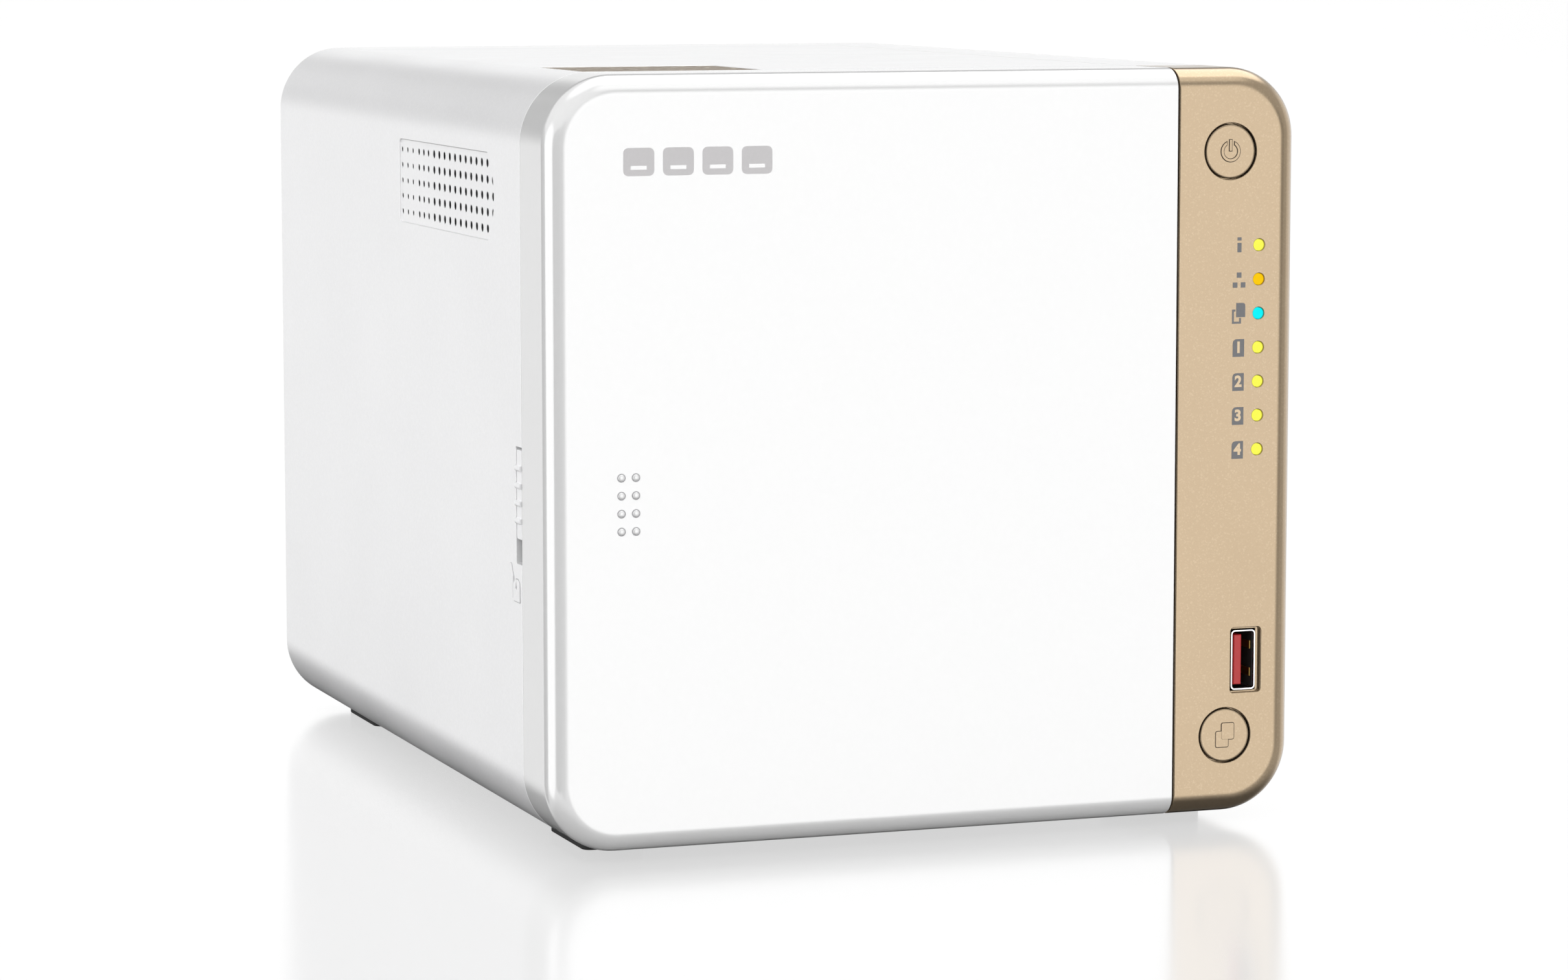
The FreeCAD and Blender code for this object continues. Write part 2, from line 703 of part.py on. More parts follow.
def make_rear_screws():
    screws = []
    for side in (-1, 1):
        for z in (SCREW_CORNER_LOW, SCREW_CORNER_HIGH):
            x = side * SCREW_CORNER_X
            head = rod("Y", (x, PANEL_REAR, z), 2.9, 1.6)
            shank = rod("Y", (x, PANEL_REAR - 10, z), 1.3, 10.5)
            screws.append(fused([head, shank]))
    group("rear_screws", screws)


# ---------------------------------------------------------------- controls

def make_push_button(label, z):
    """Round button with a collar behind the fascia and a stem to its switch."""
    body = new_body(label)
    place(body, BUTTON_X, 0, z)
    collar = COVER_INSIDE + 0.3
    stem_end = FRONT_BOARD_Y - 5.4
    revolve(body, [
        (0, FRONT + 0.1), (BUTTON_RADIUS, FRONT + 0.1), (BUTTON_RADIUS, collar),
        (BUTTON_RADIUS + 1.2, collar), (BUTTON_RADIUS + 1.2, collar + 1), (2, collar + 1),
        (2, stem_end), (0, stem_end),
    ])


def make_reset_button():
    body = new_body("reset_button")
    place(body, RESET_X, 0, RESET_Z)
    revolve(body, [(0, 104.2), (2.4, 104.2), (2.4, 105.2), (1.5, 105.2), (1.5, 110.4), (0, 110.4)])


def make_lenses():
    """Clear light guides from the front board to the face."""
    groups = (("status_lens", [0]), ("network_lens", [1]), ("usb_lens", [2]),
              ("drive_lenses", [3, 4, 5, 6]))
    front = FRONT + 0.05
    for label, indices in groups:
        lenses = [rod("Y", (LENS_X, front, lens_z(i)), LENS_RADIUS, FRONT_BOARD_Y - front)
                  for i in indices]
        if len(lenses) == 1:
            piece(label, lenses[0])
        else:
            group(label, lenses)


def make_front_board():
    board = block((60.5, 81.0), (FRONT_BOARD_Y, FRONT_BOARD_Y + BOARD), (14.0, 156.0))
    piece("front_board", board)
    switches = [
        block((BUTTON_X - 3, BUTTON_X + 3), (FRONT_BOARD_Y - 4, FRONT_BOARD_Y), (z - 3, z + 3))
        for z in (POWER_Z, COPY_Z)
    ]
    switches.append(block((BOARD_FACE, 68.0), (96.0, 103.0), (RESET_Z - 3, RESET_Z + 3)))
    group("tact_switches", switches)


def make_front_usb():
    """Metal shell of the front socket with its contact tongue."""
    front = FRONT + 0.4
    sleeve = block((70.42, 76.22), (front, FRONT_BOARD_Y), (29.5, 42.7))
    hollow = block((70.77, 75.87), (front - 1, FRONT_BOARD_Y - 1.5), (29.85, 42.35))
    piece("front_usb_shell", cut(sleeve, [hollow]))
    tongue = block((71.3, 73.2), (front + 0.6, FRONT_BOARD_Y - 1.5), (30.6, 41.6))
    piece("front_usb_tongue", tongue)


# ---------------------------------------------------------------- bays

def make_cage():
    """Sheet-steel tube that holds the trays, with two windows in each side."""
    body = new_body("drive_cage")
    outer = rectangle(BAY_LEFT - SHEET_METAL, BAY_LOW - SHEET_METAL,
                      BAY_RIGHT + SHEET_METAL, BAY_HIGH + SHEET_METAL)
    pad(body, "XZ", [outer], FRAME_REAR, CAGE_REAR)
    inner = rectangle(BAY_LEFT, BAY_LOW, BAY_RIGHT, BAY_HIGH)
    pocket(body, "XZ", [inner], FRAME_REAR, CAGE_REAR)
    windows = [rectangle(y, 50.0, y + 38.0, 118.0) for y in (-60.0, 0.0)]
    pocket(body, "YZ", windows, BAY_LEFT - 5, BAY_RIGHT + 5)
    holes = [Round(x, y, 1.6) for x in CAGE_SCREW_X for y in CAGE_SCREW_Y]
    pocket(body, "XY", holes, BAY_LOW - 3, BAY_LOW)


def make_cage_rails():
    """Plastic guides on the cage's floor and ceiling, ribbed between the trays."""
    rear = CAGE_REAR - 1
    guides = []
    for side in (-1, 1):
        wall = MID_Z + side * BAY_HEIGHT / 2
        plate = wall - side * 5.0
        rib = wall - side * 9.3
        low, high = (wall, plate) if side < 0 else (plate, wall)
        parts = [block((BAY_LEFT + 0.2, BAY_RIGHT - 0.2), (FRAME_REAR, rear), (low, high))]
        low, high = (wall, rib) if side < 0 else (rib, wall)
        for bay in range(5):
            x = bay_x(bay) - BAY_PITCH / 2
            parts.append(block((x - 0.5, x + 0.5), (FRAME_REAR, rear), (low, high)))
        guides.append(fused(parts))
    wells = [rod("Z", (x, y, BAY_LOW - 1), 3.2, 7) for x in CAGE_SCREW_X for y in CAGE_SCREW_Y]
    guides[0] = cut(guides[0], wells)
    group("cage_rails", guides)


def make_cage_screws():
    """Screws through the cage's floor into the shell's ribs."""
    screws = []
    for x in CAGE_SCREW_X:
        for y in CAGE_SCREW_Y:
            head = rod("Z", (x, y, BAY_LOW), 2.6, 1.5)
            shank = rod("Z", (x, y, BAY_LOW - 9), 1.3, 9.5)
            screws.append(fused([head, shank]))
    group("cage_screws", screws)


def make_tray(bay):
    """Tray with a dished front, two rails, a base plate and a grille."""
    body = new_body(f"drive_tray_{bay + 1}")
    place(body, bay_x(bay), 0, 0)
    half = TRAY_WIDTH / 2
    low = MID_Z - TRAY_HEIGHT / 2
    high = MID_Z + TRAY_HEIGHT / 2
    pad(body, "XZ", [rectangle(-half, low, half, high)], TRAY_FRONT, TRAY_BACK)
    dish = rectangle(-half + 3.7, low + 7.75, half - 3.7, high - 5.75)
    pocket(body, "XZ", [dish], TRAY_FRONT - 1, TRAY_BACK - 1.6)
    grille = pocket(body, "XZ", [rectangle(-7.0, low + 20, 7.0, low + 22.4)],
                    TRAY_FRONT - 1, TRAY_BACK + 1)
    repeat(body, grille, "Z", 7.0, 13)
    pivot = Round(PIVOT_Y, PIVOT_Z, PIVOT_RADIUS + 0.05)
    pocket(body, "YZ", [pivot], -half - 1, half + 1)
    for side in (-1, 1):
        inner = MID_Z + side * RAIL_GAP
        outer = inner + side * 3.0
        low_z, high_z = (outer, inner) if side < 0 else (inner, outer)
        rail = rectangle(-half + 0.4, low_z, half - 0.4, high_z)
        pad(body, "XZ", [rail], TRAY_BACK - 0.5, CAGE_REAR - 2)
    base = rectangle(TRAY_BACK - 0.5, MID_Z - RAIL_GAP - 1, CAGE_REAR - 7, MID_Z + RAIL_GAP + 1)
    pad(body, "YZ", [base], -half + 0.4, -half + 2)
    windows = [rectangle(y, 55.0, y + 32.0, 112.0) for y in (-82.0, -38.0, 6.0)]
    pocket(body, "YZ", windows, -half - 1, -half + 3)
    pins = [Round(DRIVE_HOLE_X, y, 1.7) for y in DRIVE_HOLE_Y]
    pocket(body, "XY", pins, MID_Z - RAIL_GAP - 4, MID_Z - RAIL_GAP + 0.2)
    pocket(body, "XY", pins, MID_Z + RAIL_GAP - 0.2, MID_Z + RAIL_GAP + 4)


def make_handle(bay):
    """Lever on the tray's front, turning on two stub pins at its lower end."""
    body = new_body(f"tray_handle_{bay + 1}")
    place(body, bay_x(bay), 0, 0)
    half = TRAY_WIDTH / 2 - 4.1
    front = TRAY_FRONT - 2
    lever = rectangle(-half, PIVOT_Z, half, PIVOT_Z + 98)
    pad(body, "XZ", [lever], front, front + 2.6)
    knuckle = [(front, PIVOT_Z), (front, PIVOT_Z + 6), (PIVOT_Y + 1.2, PIVOT_Z + 6),
               (PIVOT_Y + 1.8, PIVOT_Z)]
    pad(body, "YZ", [knuckle], -half, half)
    pad(body, "YZ", [Round(PIVOT_Y, PIVOT_Z, 2.3)], -half, half)
    pad(body, "YZ", [Round(PIVOT_Y, PIVOT_Z, PIVOT_RADIUS)], -half - 1.5, half + 1.5)
    grip = rectangle(-half + 3, PIVOT_Z + 70, half - 3, PIVOT_Z + 92)
    pocket(body, "XZ", [grip], front - 1, front + 1.3)
    slots = pocket(body, "XZ", [rectangle(-6.0, PIVOT_Z + 10, 6.0, PIVOT_Z + 12.4)],
                   front - 1, front + 4)
    repeat(body, slots, "Z", 7.0, 8)


def make_clips(bay):
    """Two strips whose pins hold the drive in the tray."""
    x = bay_x(bay)
    pin_length = 5.7
    inner = RAIL_GAP + 3
    outer = inner + 1.9
    strips = []
    for low, high, pin_start in ((MID_Z - outer, MID_Z - inner, MID_Z - inner - 0.5),
                                 (MID_Z + inner, MID_Z + outer, MID_Z + inner - 5.2)):
        parts = [block((x - 10, x - 2.5), (-70.0, 43.0), (low, high))]
        parts += [rod("Z", (x + DRIVE_HOLE_X, y, pin_start), 1.4, pin_length)
                  for y in DRIVE_HOLE_Y]
        strips.append(fused(parts))
    group(f"tray_clips_{bay + 1}", strips)


def make_drive(bay):
    """Hard drive with side holes and a notch for its socket."""
    body = new_body(f"hard_drive_{bay + 1}")
    place(body, bay_x(bay), 0, 0)
    left = -TRAY_WIDTH / 2 + 2
    right = left + DRIVE_THICKNESS
    front = TRAY_BACK + 3
    rear = front + DRIVE_LENGTH
    low = MID_Z - DRIVE_WIDTH / 2
    high = MID_Z + DRIVE_WIDTH / 2
    pad(body, "XZ", [rectangle(left, low, right, high)], front, rear)
    lid = rectangle(front + 8, low + 6, rear - 12, high - 6)
    pocket(body, "YZ", [lid], right - 0.6, right + 1)
    pocket(body, "XZ", [rectangle(left - 1, 70.0, left + 7, 112.0)], rear - 5, rear + 1)
    holes = [Round(DRIVE_HOLE_X, y, 1.7) for y in DRIVE_HOLE_Y]
    pocket(body, "XY", holes, low - 1, low + 4)
    pocket(body, "XY", holes, high - 4, high + 1)


def make_backplane():
    """Board behind the cage, its drive sockets and its link to the main board."""
    body = new_body("backplane_board")
    outline = rectangle(BAY_LEFT + 1, BAY_LOW + 2, BOARD_X - 0.5, BAY_HIGH - 2)
    pad(body, "XZ", [outline], CAGE_REAR, CAGE_REAR + BOARD)
    slot = pocket(body, "XZ", [rectangle(-60.0, 36.0, -48.0, 132.0)],
                  CAGE_REAR - 1, CAGE_REAR + 3)
    repeat(body, slot, "X", BAY_PITCH, 4)
    sockets = []
    for bay in BAYS:
        left = bay_x(bay) - TRAY_WIDTH / 2 + 2.9
        shell = block((left, left + 5.5), (CAGE_REAR - 9.4, CAGE_REAR), (70.6, 111.4))
        groove = block((left + 2, left + 3.6), (CAGE_REAR - 10, CAGE_REAR - 5), (72.0, 110.0))
        sockets.append(cut(shell, [groove]))
    group("sata_connectors", sockets)
    link = block((BOARD_X - 4.4, BOARD_X), (CAGE_REAR - 3.5, CAGE_REAR + 6), (62.0, 108.0))
    edge = block((BOARD_X - 5, BOARD_X - 0.4), (CAGE_REAR - 0.05, CAGE_REAR + BOARD + 0.05),
                 (61.0, 109.0))
    piece("backplane_connector", cut(link, [edge]))


# ---------------------------------------------------------------- main board

def make_main_board():
    """Upright board beside the cage, with what is mounted on it."""
    body = new_body("main_board")
    outline = rectangle(FRAME_REAR + 2, 10.0, 104.0, 157.0)
    pad(body, "YZ", [outline], BOARD_X, BOARD_FACE)
    pocket(body, "YZ", [Round(y, z, 1.6) for y, z in STANDOFFS], BOARD_X, BOARD_FACE)
    cage_side = BAY_RIGHT + SHEET_METAL
    posts = []
    screws = []
    for y, z in STANDOFFS:
        post = rod("X", (cage_side, y, z), 3.0, BOARD_X - cage_side)
        hole = rod("X", (cage_side + 1, y, z), 1.5, BOARD_X - cage_side)
        posts.append(cut(post, [hole]))
        head = rod("X", (BOARD_FACE, y, z), 3.0, 1.6)
        shank = rod("X", (BOARD_X - 2.5, y, z), 1.4, BOARD + 3)
        screws.append(fused([head, shank]))
    group("board_standoffs", posts)
    group("board_screws", screws)


def make_heatsink():
    body = new_body("heatsink")
    pad(body, "YZ", [rectangle(-10.0, 70.0, 41.2, 120.0)], BOARD_FACE, BOARD_FACE + 3)
    fin = pad(body, "YZ", [rectangle(-10.0, 70.0, -8.8, 120.0)], BOARD_FACE + 2.5, BOARD_FACE + 17)
    repeat(body, fin, "Y", 5.0, 11)


def make_board_parts():
    """Memory, clock battery and buzzer."""
    face = BOARD_FACE
    socket = block((face, face + 5.4), (-30.0, -22.0), (76.0, 146.0))
    mouth = block((face + 2.8, face + 4.2), (-31.0, -26.0), (77.0, 145.0))
    piece("memory_socket", cut(socket, [mouth]))
    piece("memory_module", block((face + 2.9, face + 4.1), (-56.0, -26.0), (77.2, 144.8)))
    piece("rtc_battery", rod("X", (face, 60.0, 26.0), 10.0, 3.2))
    sounder = rod("X", (face, -60.0, 25.0), 6.0, 8.0)
    port = rod("X", (face + 7, -60.0, 25.0), 1.2, 2.0)
    piece("buzzer", cut(sounder, [port]))


# ---------------------------------------------------------------- rear sockets

def all_sockets():
    """Centre height and size of each block that comes through the rear panel."""
    specs = [(z, LAN_SIZE) for z in LAN_Z]
    specs += [(z, USB_SIZE) for z in USB_Z]
    specs += [(z, HDMI_SIZE) for z in HDMI_Z]
    specs.append((POWER_SOCKET_Z, POWER_SOCKET_SIZE))
    return specs


def socket_outline(z, outer, clearance=0.0):
    reach, tall = outer
    return rectangle(BOARD_FACE - clearance, z - tall / 2 - clearance,
                     BOARD_FACE + reach + clearance, z + tall / 2 + clearance)


def socket_block(z, outer, length):
    reach, tall = outer
    return block((BOARD_FACE, BOARD_FACE + reach), (SOCKET_REAR - length, SOCKET_REAR),
                 (z - tall / 2, z + tall / 2))


def make_lan_jacks():
    jacks = []
    for z in LAN_Z:
        shell = socket_block(z, LAN_SIZE, 19.0)
        depth = (SOCKET_REAR - 13, SOCKET_REAR + 1)
        hollow = block((BOARD_FACE + 3, BOARD_FACE + 10.2), depth, (z - 5.9, z + 5.9))
        latch = block((BOARD_FACE + 10, BOARD_FACE + 12), depth, (z - 3.0, z + 3.0))
        jacks.append(cut(shell, [hollow, latch]))
    group("lan_jacks", jacks)


def make_usb_ports():
    """Two stacked pairs, each mouth round its own tongue."""
    stacks = []
    for z in USB_Z:
        shell = socket_block(z, USB_SIZE, 17.0)
        cutters = []
        for start in (1.3, 9.1):
            left = BOARD_FACE + start
            depth = (SOCKET_REAR - 11, SOCKET_REAR + 1)
            mouth = block((left, left + 5.2), depth, (z - 6.2, z + 6.2))
            tongue = block((left + 0.6, left + 2.4), (SOCKET_REAR - 12, SOCKET_REAR - 0.6),
                           (z - 5.5, z + 5.5))
            cutters.append(cut(mouth, [tongue]))
        stacks.append(cut(shell, cutters))
    group("usb_rear_ports", stacks)


def make_hdmi_ports():
    ports = []
    for z in HDMI_Z:
        shell = socket_block(z, HDMI_SIZE, 12.0)
        left = BOARD_FACE + 0.8
        mouth = block((left, left + 4.6), (SOCKET_REAR - 8, SOCKET_REAR + 1), (z - 7.0, z + 7.0))
        tongue = block((left + 1.6, left + 3.0), (SOCKET_REAR - 9, SOCKET_REAR - 1.5),
                       (z - 5.8, z + 5.8))
        ports.append(cut(shell, [cut(mouth, [tongue])]))
    group("hdmi_ports", ports)


def make_power_socket():
    """Round power inlet with a centre pin."""
    shell = socket_block(POWER_SOCKET_Z, POWER_SOCKET_SIZE, 14.0)
    centre_x = BOARD_FACE + 7
    start = SOCKET_REAR - 10
    bore = rod("Y", (centre_x, start, POWER_SOCKET_Z), 3.2, 12.0)
    pin = rod("Y", (centre_x, start - 1, POWER_SOCKET_Z), 1.25, 10.0)
    piece("dc_power_jack", cut(shell, [cut(bore, [pin])]))


# ---------------------------------------------------------------- fan

def make_fan_frame():
    """Square frame with a round duct, four struts and a bearing plate."""
    body = new_body("fan_frame")
    place(body, FAN_X, 0, MID_Z)
    half = FAN_SIZE / 2
    front = PANEL_FRONT - FAN_DEPTH
    pad(body, "XZ", [Rounded(-half, -half, half, half, 6, Rounded.ALL)], front, PANEL_FRONT)
    pocket(body, "XZ", [Round(0, 0, half - 3)], front, PANEL_FRONT)
    pad(body, "XZ", [rectangle(-half + 1, -2.0, half - 1, 2.0)], PANEL_FRONT - 3, PANEL_FRONT)
    pad(body, "XZ", [rectangle(-2.0, -half + 1, 2.0, half - 1)], PANEL_FRONT - 3, PANEL_FRONT)
    pad(body, "XZ", [Round(0, 0, 19.0)], PANEL_FRONT - 3.5, PANEL_FRONT)
    pitch = FAN_HOLE_PITCH / 2
    holes = [Round(sx * pitch, sz * pitch, 2.15) for sx in (-1, 1) for sz in (-1, 1)]
    pocket(body, "XZ", holes, front, PANEL_FRONT)
    pocket(body, "XZ", [Round(0, 0, 1.55)], PANEL_FRONT - 4, PANEL_FRONT - 0.6)


def make_fan_rotor():
    """Hub cup, shaft and seven slanted blades."""
    body = new_body("fan_rotor")
    place(body, FAN_X, 0, MID_Z)
    front = PANEL_FRONT - FAN_DEPTH + 2
    rear = PANEL_FRONT - 4
    revolve(body, [
        (0, front), (18, front), (19, front + 1), (19, rear), (17, rear), (17, front + 2),
        (1.5, front + 2), (1.5, PANEL_FRONT - 1), (0, PANEL_FRONT - 1),
    ])
    slant = [(front + 1, -11.0), (front + 3, -11.0), (rear, 9.0), (rear - 2, 9.0)]
    blade = pad(body, "YZ", [slant], 17.5, FAN_SIZE / 2 - 5.5)
    pattern = body.newObject("PartDesign::PolarPattern", "blades")
    pattern.Originals = [blade]
    pattern.Axis = (origin_feature(body, "Y_Axis"), [""])
    pattern.Occurrences = 7
    body.Tip = pattern


def make_fan_guard():
    """Wire guard of rings, spokes and four eyelets."""
    wire_y = PANEL_REAR + WIRE_RADIUS
    wires = []
    for radius in (12.0, 22.5, 33.0, 43.5, 54.0):
        ring = DOC.addObject("Part::Torus", "ring")
        ring.Placement = FreeCAD.Placement(FreeCAD.Vector(), TURNS["Y"])
        ring.setExpression("Radius1", as_size(radius).text)
        ring.setExpression("Radius2", WIRE_RADIUS.text)
        place(ring, FAN_X, wire_y, MID_Z)
        wires.append(ring)
    reach = FAN_HOLE_PITCH / 2 * math.sqrt(2)
    eyelets = []
    for quarter in range(4):
        angle = math.radians(45 + 90 * quarter)
        heading = FreeCAD.Vector(math.cos(angle), 0, math.sin(angle))
        spoke = DOC.addObject("Part::Cylinder", "spoke")
        turn = FreeCAD.Rotation(FreeCAD.Vector(0, 0, 1), heading)
        spoke.Placement = FreeCAD.Placement(FreeCAD.Vector(), turn)
        spoke.setExpression("Radius", (WIRE_RADIUS - 0.1).text)
        spoke.setExpression("Height", (reach - 14.5).text)
        place(spoke, FAN_X + 11.5 * heading.x, wire_y, MID_Z + 11.5 * heading.z)
        wires.append(spoke)
        centre = (FAN_X + reach * heading.x, PANEL_REAR, MID_Z + reach * heading.z)
        wires.append(rod("Y", centre, 4.4, WIRE_RADIUS * 2))
        below = (centre[0], PANEL_REAR - 1, centre[2])
        eyelets.append(rod("Y", below, 2.2, WIRE_RADIUS * 2 + 2))
    piece("fan_guard", cut(fused(wires), eyelets))


def make_fan_screws():
    screws = []
    for x, z in fan_corners():
        head = rod("Y", (x, PANEL_REAR + WIRE_RADIUS * 2, z), 3.6, 1.4)
        shank = rod("Y", (x, PANEL_FRONT - 8, z), 1.9, 8 + SHEET_METAL + 2)
        screws.append(fused([head, shank]))
    group("fan_screws", screws)


# ---------------------------------------------------------------- checking and writing

def check_document():
    """Stop if any object failed, a pocket cut nothing, or a piece isn't sound."""
    for item in DOC.Objects:
        if {"Invalid", "Error"} & set(item.State):
            raise RuntimeError(f"{item.Label} failed: {item.State}")
        if item.TypeId == "PartDesign::Pocket":
            if item.Shape.Volume >= item.BaseFeature.Shape.Volume - 1e-6:
                raise RuntimeError(f"{item.Label} of {item.getParent().Label} cuts nothing")
    for item in PIECES:
        if item.Shape.isNull() or not item.Shape.isValid():
            raise RuntimeError(f"{item.Label} has no sound shape")


def main():
    make_main_shell()
    make_side_shell()
    make_front_cover()
    make_control_fascia()
    make_cover_lock()
    make_bay_frame()
    make_rear_panel()
    make_feet()
    make_nameplate()
    make_rear_screws()
    make_push_button("power_button", POWER_Z)
    make_push_button("copy_button", COPY_Z)
    make_reset_button()
    make_lenses()
    make_front_board()
    make_front_usb()
    make_cage()
    make_cage_rails()
    make_cage_screws()
    for bay in BAYS:
        make_tray(bay)
        make_handle(bay)
        make_clips(bay)
        make_drive(bay)
    make_backplane()
    make_main_board()
    make_heatsink()
    make_board_parts()
    make_lan_jacks()
    make_usb_ports()
    make_hdmi_ports()
    make_power_socket()
    make_fan_frame()
    make_fan_rotor()
    make_fan_guard()
    make_fan_screws()
    DOC.recompute()
    check_document()
    os.makedirs("parts", exist_ok=True)
    for item in PIECES:
        item.Shape.exportStep(f"parts/{item.Label}.step")
        print(f"{item.Label}: {len(item.Shape.Solids)} solid(s), {item.Shape.Volume:.0f} mm3")


main()
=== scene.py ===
"""Looks of a four-bay desktop network storage unit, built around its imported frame.

Lengths in the classes are millimetres in the part's frame: +X right seen from the
front, the front faces -Y, +Z up and the floor at Z 0. Meshes are scaled to metres
when a blank becomes a piece.
"""
from __future__ import annotations

import sys

import logging
import math
from dataclasses import dataclass, field
from enum import Enum
from typing import Callable, Iterable, Sequence

import bmesh
import bpy
from mathutils import Matrix, Vector


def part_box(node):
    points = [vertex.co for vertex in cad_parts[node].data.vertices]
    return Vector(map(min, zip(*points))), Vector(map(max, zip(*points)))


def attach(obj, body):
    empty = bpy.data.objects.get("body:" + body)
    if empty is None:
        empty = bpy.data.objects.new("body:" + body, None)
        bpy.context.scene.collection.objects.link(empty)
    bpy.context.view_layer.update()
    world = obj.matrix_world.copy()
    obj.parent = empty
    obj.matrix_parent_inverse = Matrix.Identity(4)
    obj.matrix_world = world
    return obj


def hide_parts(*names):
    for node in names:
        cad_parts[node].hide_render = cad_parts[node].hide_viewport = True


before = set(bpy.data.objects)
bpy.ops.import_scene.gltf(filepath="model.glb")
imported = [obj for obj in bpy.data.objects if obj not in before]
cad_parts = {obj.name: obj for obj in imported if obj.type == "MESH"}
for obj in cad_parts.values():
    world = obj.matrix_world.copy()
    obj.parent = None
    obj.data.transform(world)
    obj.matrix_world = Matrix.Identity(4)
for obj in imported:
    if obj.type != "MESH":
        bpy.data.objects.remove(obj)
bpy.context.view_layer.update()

LOG = logging.getLogger("network_storage")
MM = 0.001
BAYS = range(4)
TAB_X, TAB_Z = (-50.0, -10.0, 30.0), (12.2, 155.3)    # the cover's tabs and their slots

NEAR = 0.01       # mm, within which a place counts as the wanted one
MERGE = 0.0005    # mm, within which two points become one

Point = Sequence[float]
Outline = Sequence[tuple[float, float]]
Chooser = Callable[[bmesh.types.BMEdge], bool]


# ---------------------------------------------------------------- shapes

class Axis(Enum):
    """A world axis, by the index of its coordinate."""

    X = 0
    Y = 1
    Z = 2

    def turn(self) -> Matrix:
        """Rotation that takes +Z to this axis."""
        return Vector((0, 0, 1)).rotation_difference(self.unit()).to_matrix().to_4x4()

    def unit(self) -> Vector:
        """Unit vector along this axis."""
        return Vector([float(self.value == i) for i in range(3)])


@dataclass(frozen=True)
class Extent:
    """A box in millimetres."""

    low: Vector
    high: Vector

    @classmethod
    def of(cls, node: str) -> Extent:
        """The box of a framed node at rest."""
        low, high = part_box(node)
        return cls(low / MM, high / MM)

    @property
    def centre(self) -> Vector:
        """Middle of the box."""
        return (self.low + self.high) / 2


def along(axis: Axis, **near: float) -> Chooser:
    """Chooser of edges that run along an axis.

    Args:
        axis: the direction of the edges.
        near: wanted x, y or z of the edges, each within a hundredth.

    Returns:
        A function that accepts the wanted edges.
    """
    def chosen(edge: bmesh.types.BMEdge) -> bool:
        """Whether an edge runs along the axis at the wanted places.

        Args:
            edge: the edge to judge.

        Returns:
            True if it does.
        """
        run = edge.verts[1].co - edge.verts[0].co
        if abs(run[axis.value]) < run.length - 1e-4:
            return False
        return all(abs(edge.verts[0].co["xyz".index(key)] - place) < NEAR
                   for key, place in near.items())
    return chosen


def rim(axis: Axis, place: float, open_axis: Axis = Axis.X,
        open_place: float = math.inf) -> Chooser:
    """Chooser of the edges round a flat end, apart from one straight side.

    Args:
        axis: the axis that the end faces along.
        place: where the end is on it.
        open_axis: the axis that the side to leave out faces along.
        open_place: where that side is.

    Returns:
        A function that accepts the wanted edges.
    """
    def chosen(edge: bmesh.types.BMEdge) -> bool:
        """Whether an edge lies in the end and off the side to leave out.

        Args:
            edge: the edge to judge.

        Returns:
            True if it does.
        """
        ends = [vert.co for vert in edge.verts]
        flat = all(abs(co[axis.value] - place) < NEAR for co in ends)
        return flat and not all(abs(co[open_axis.value] - open_place) < NEAR for co in ends)
    return chosen


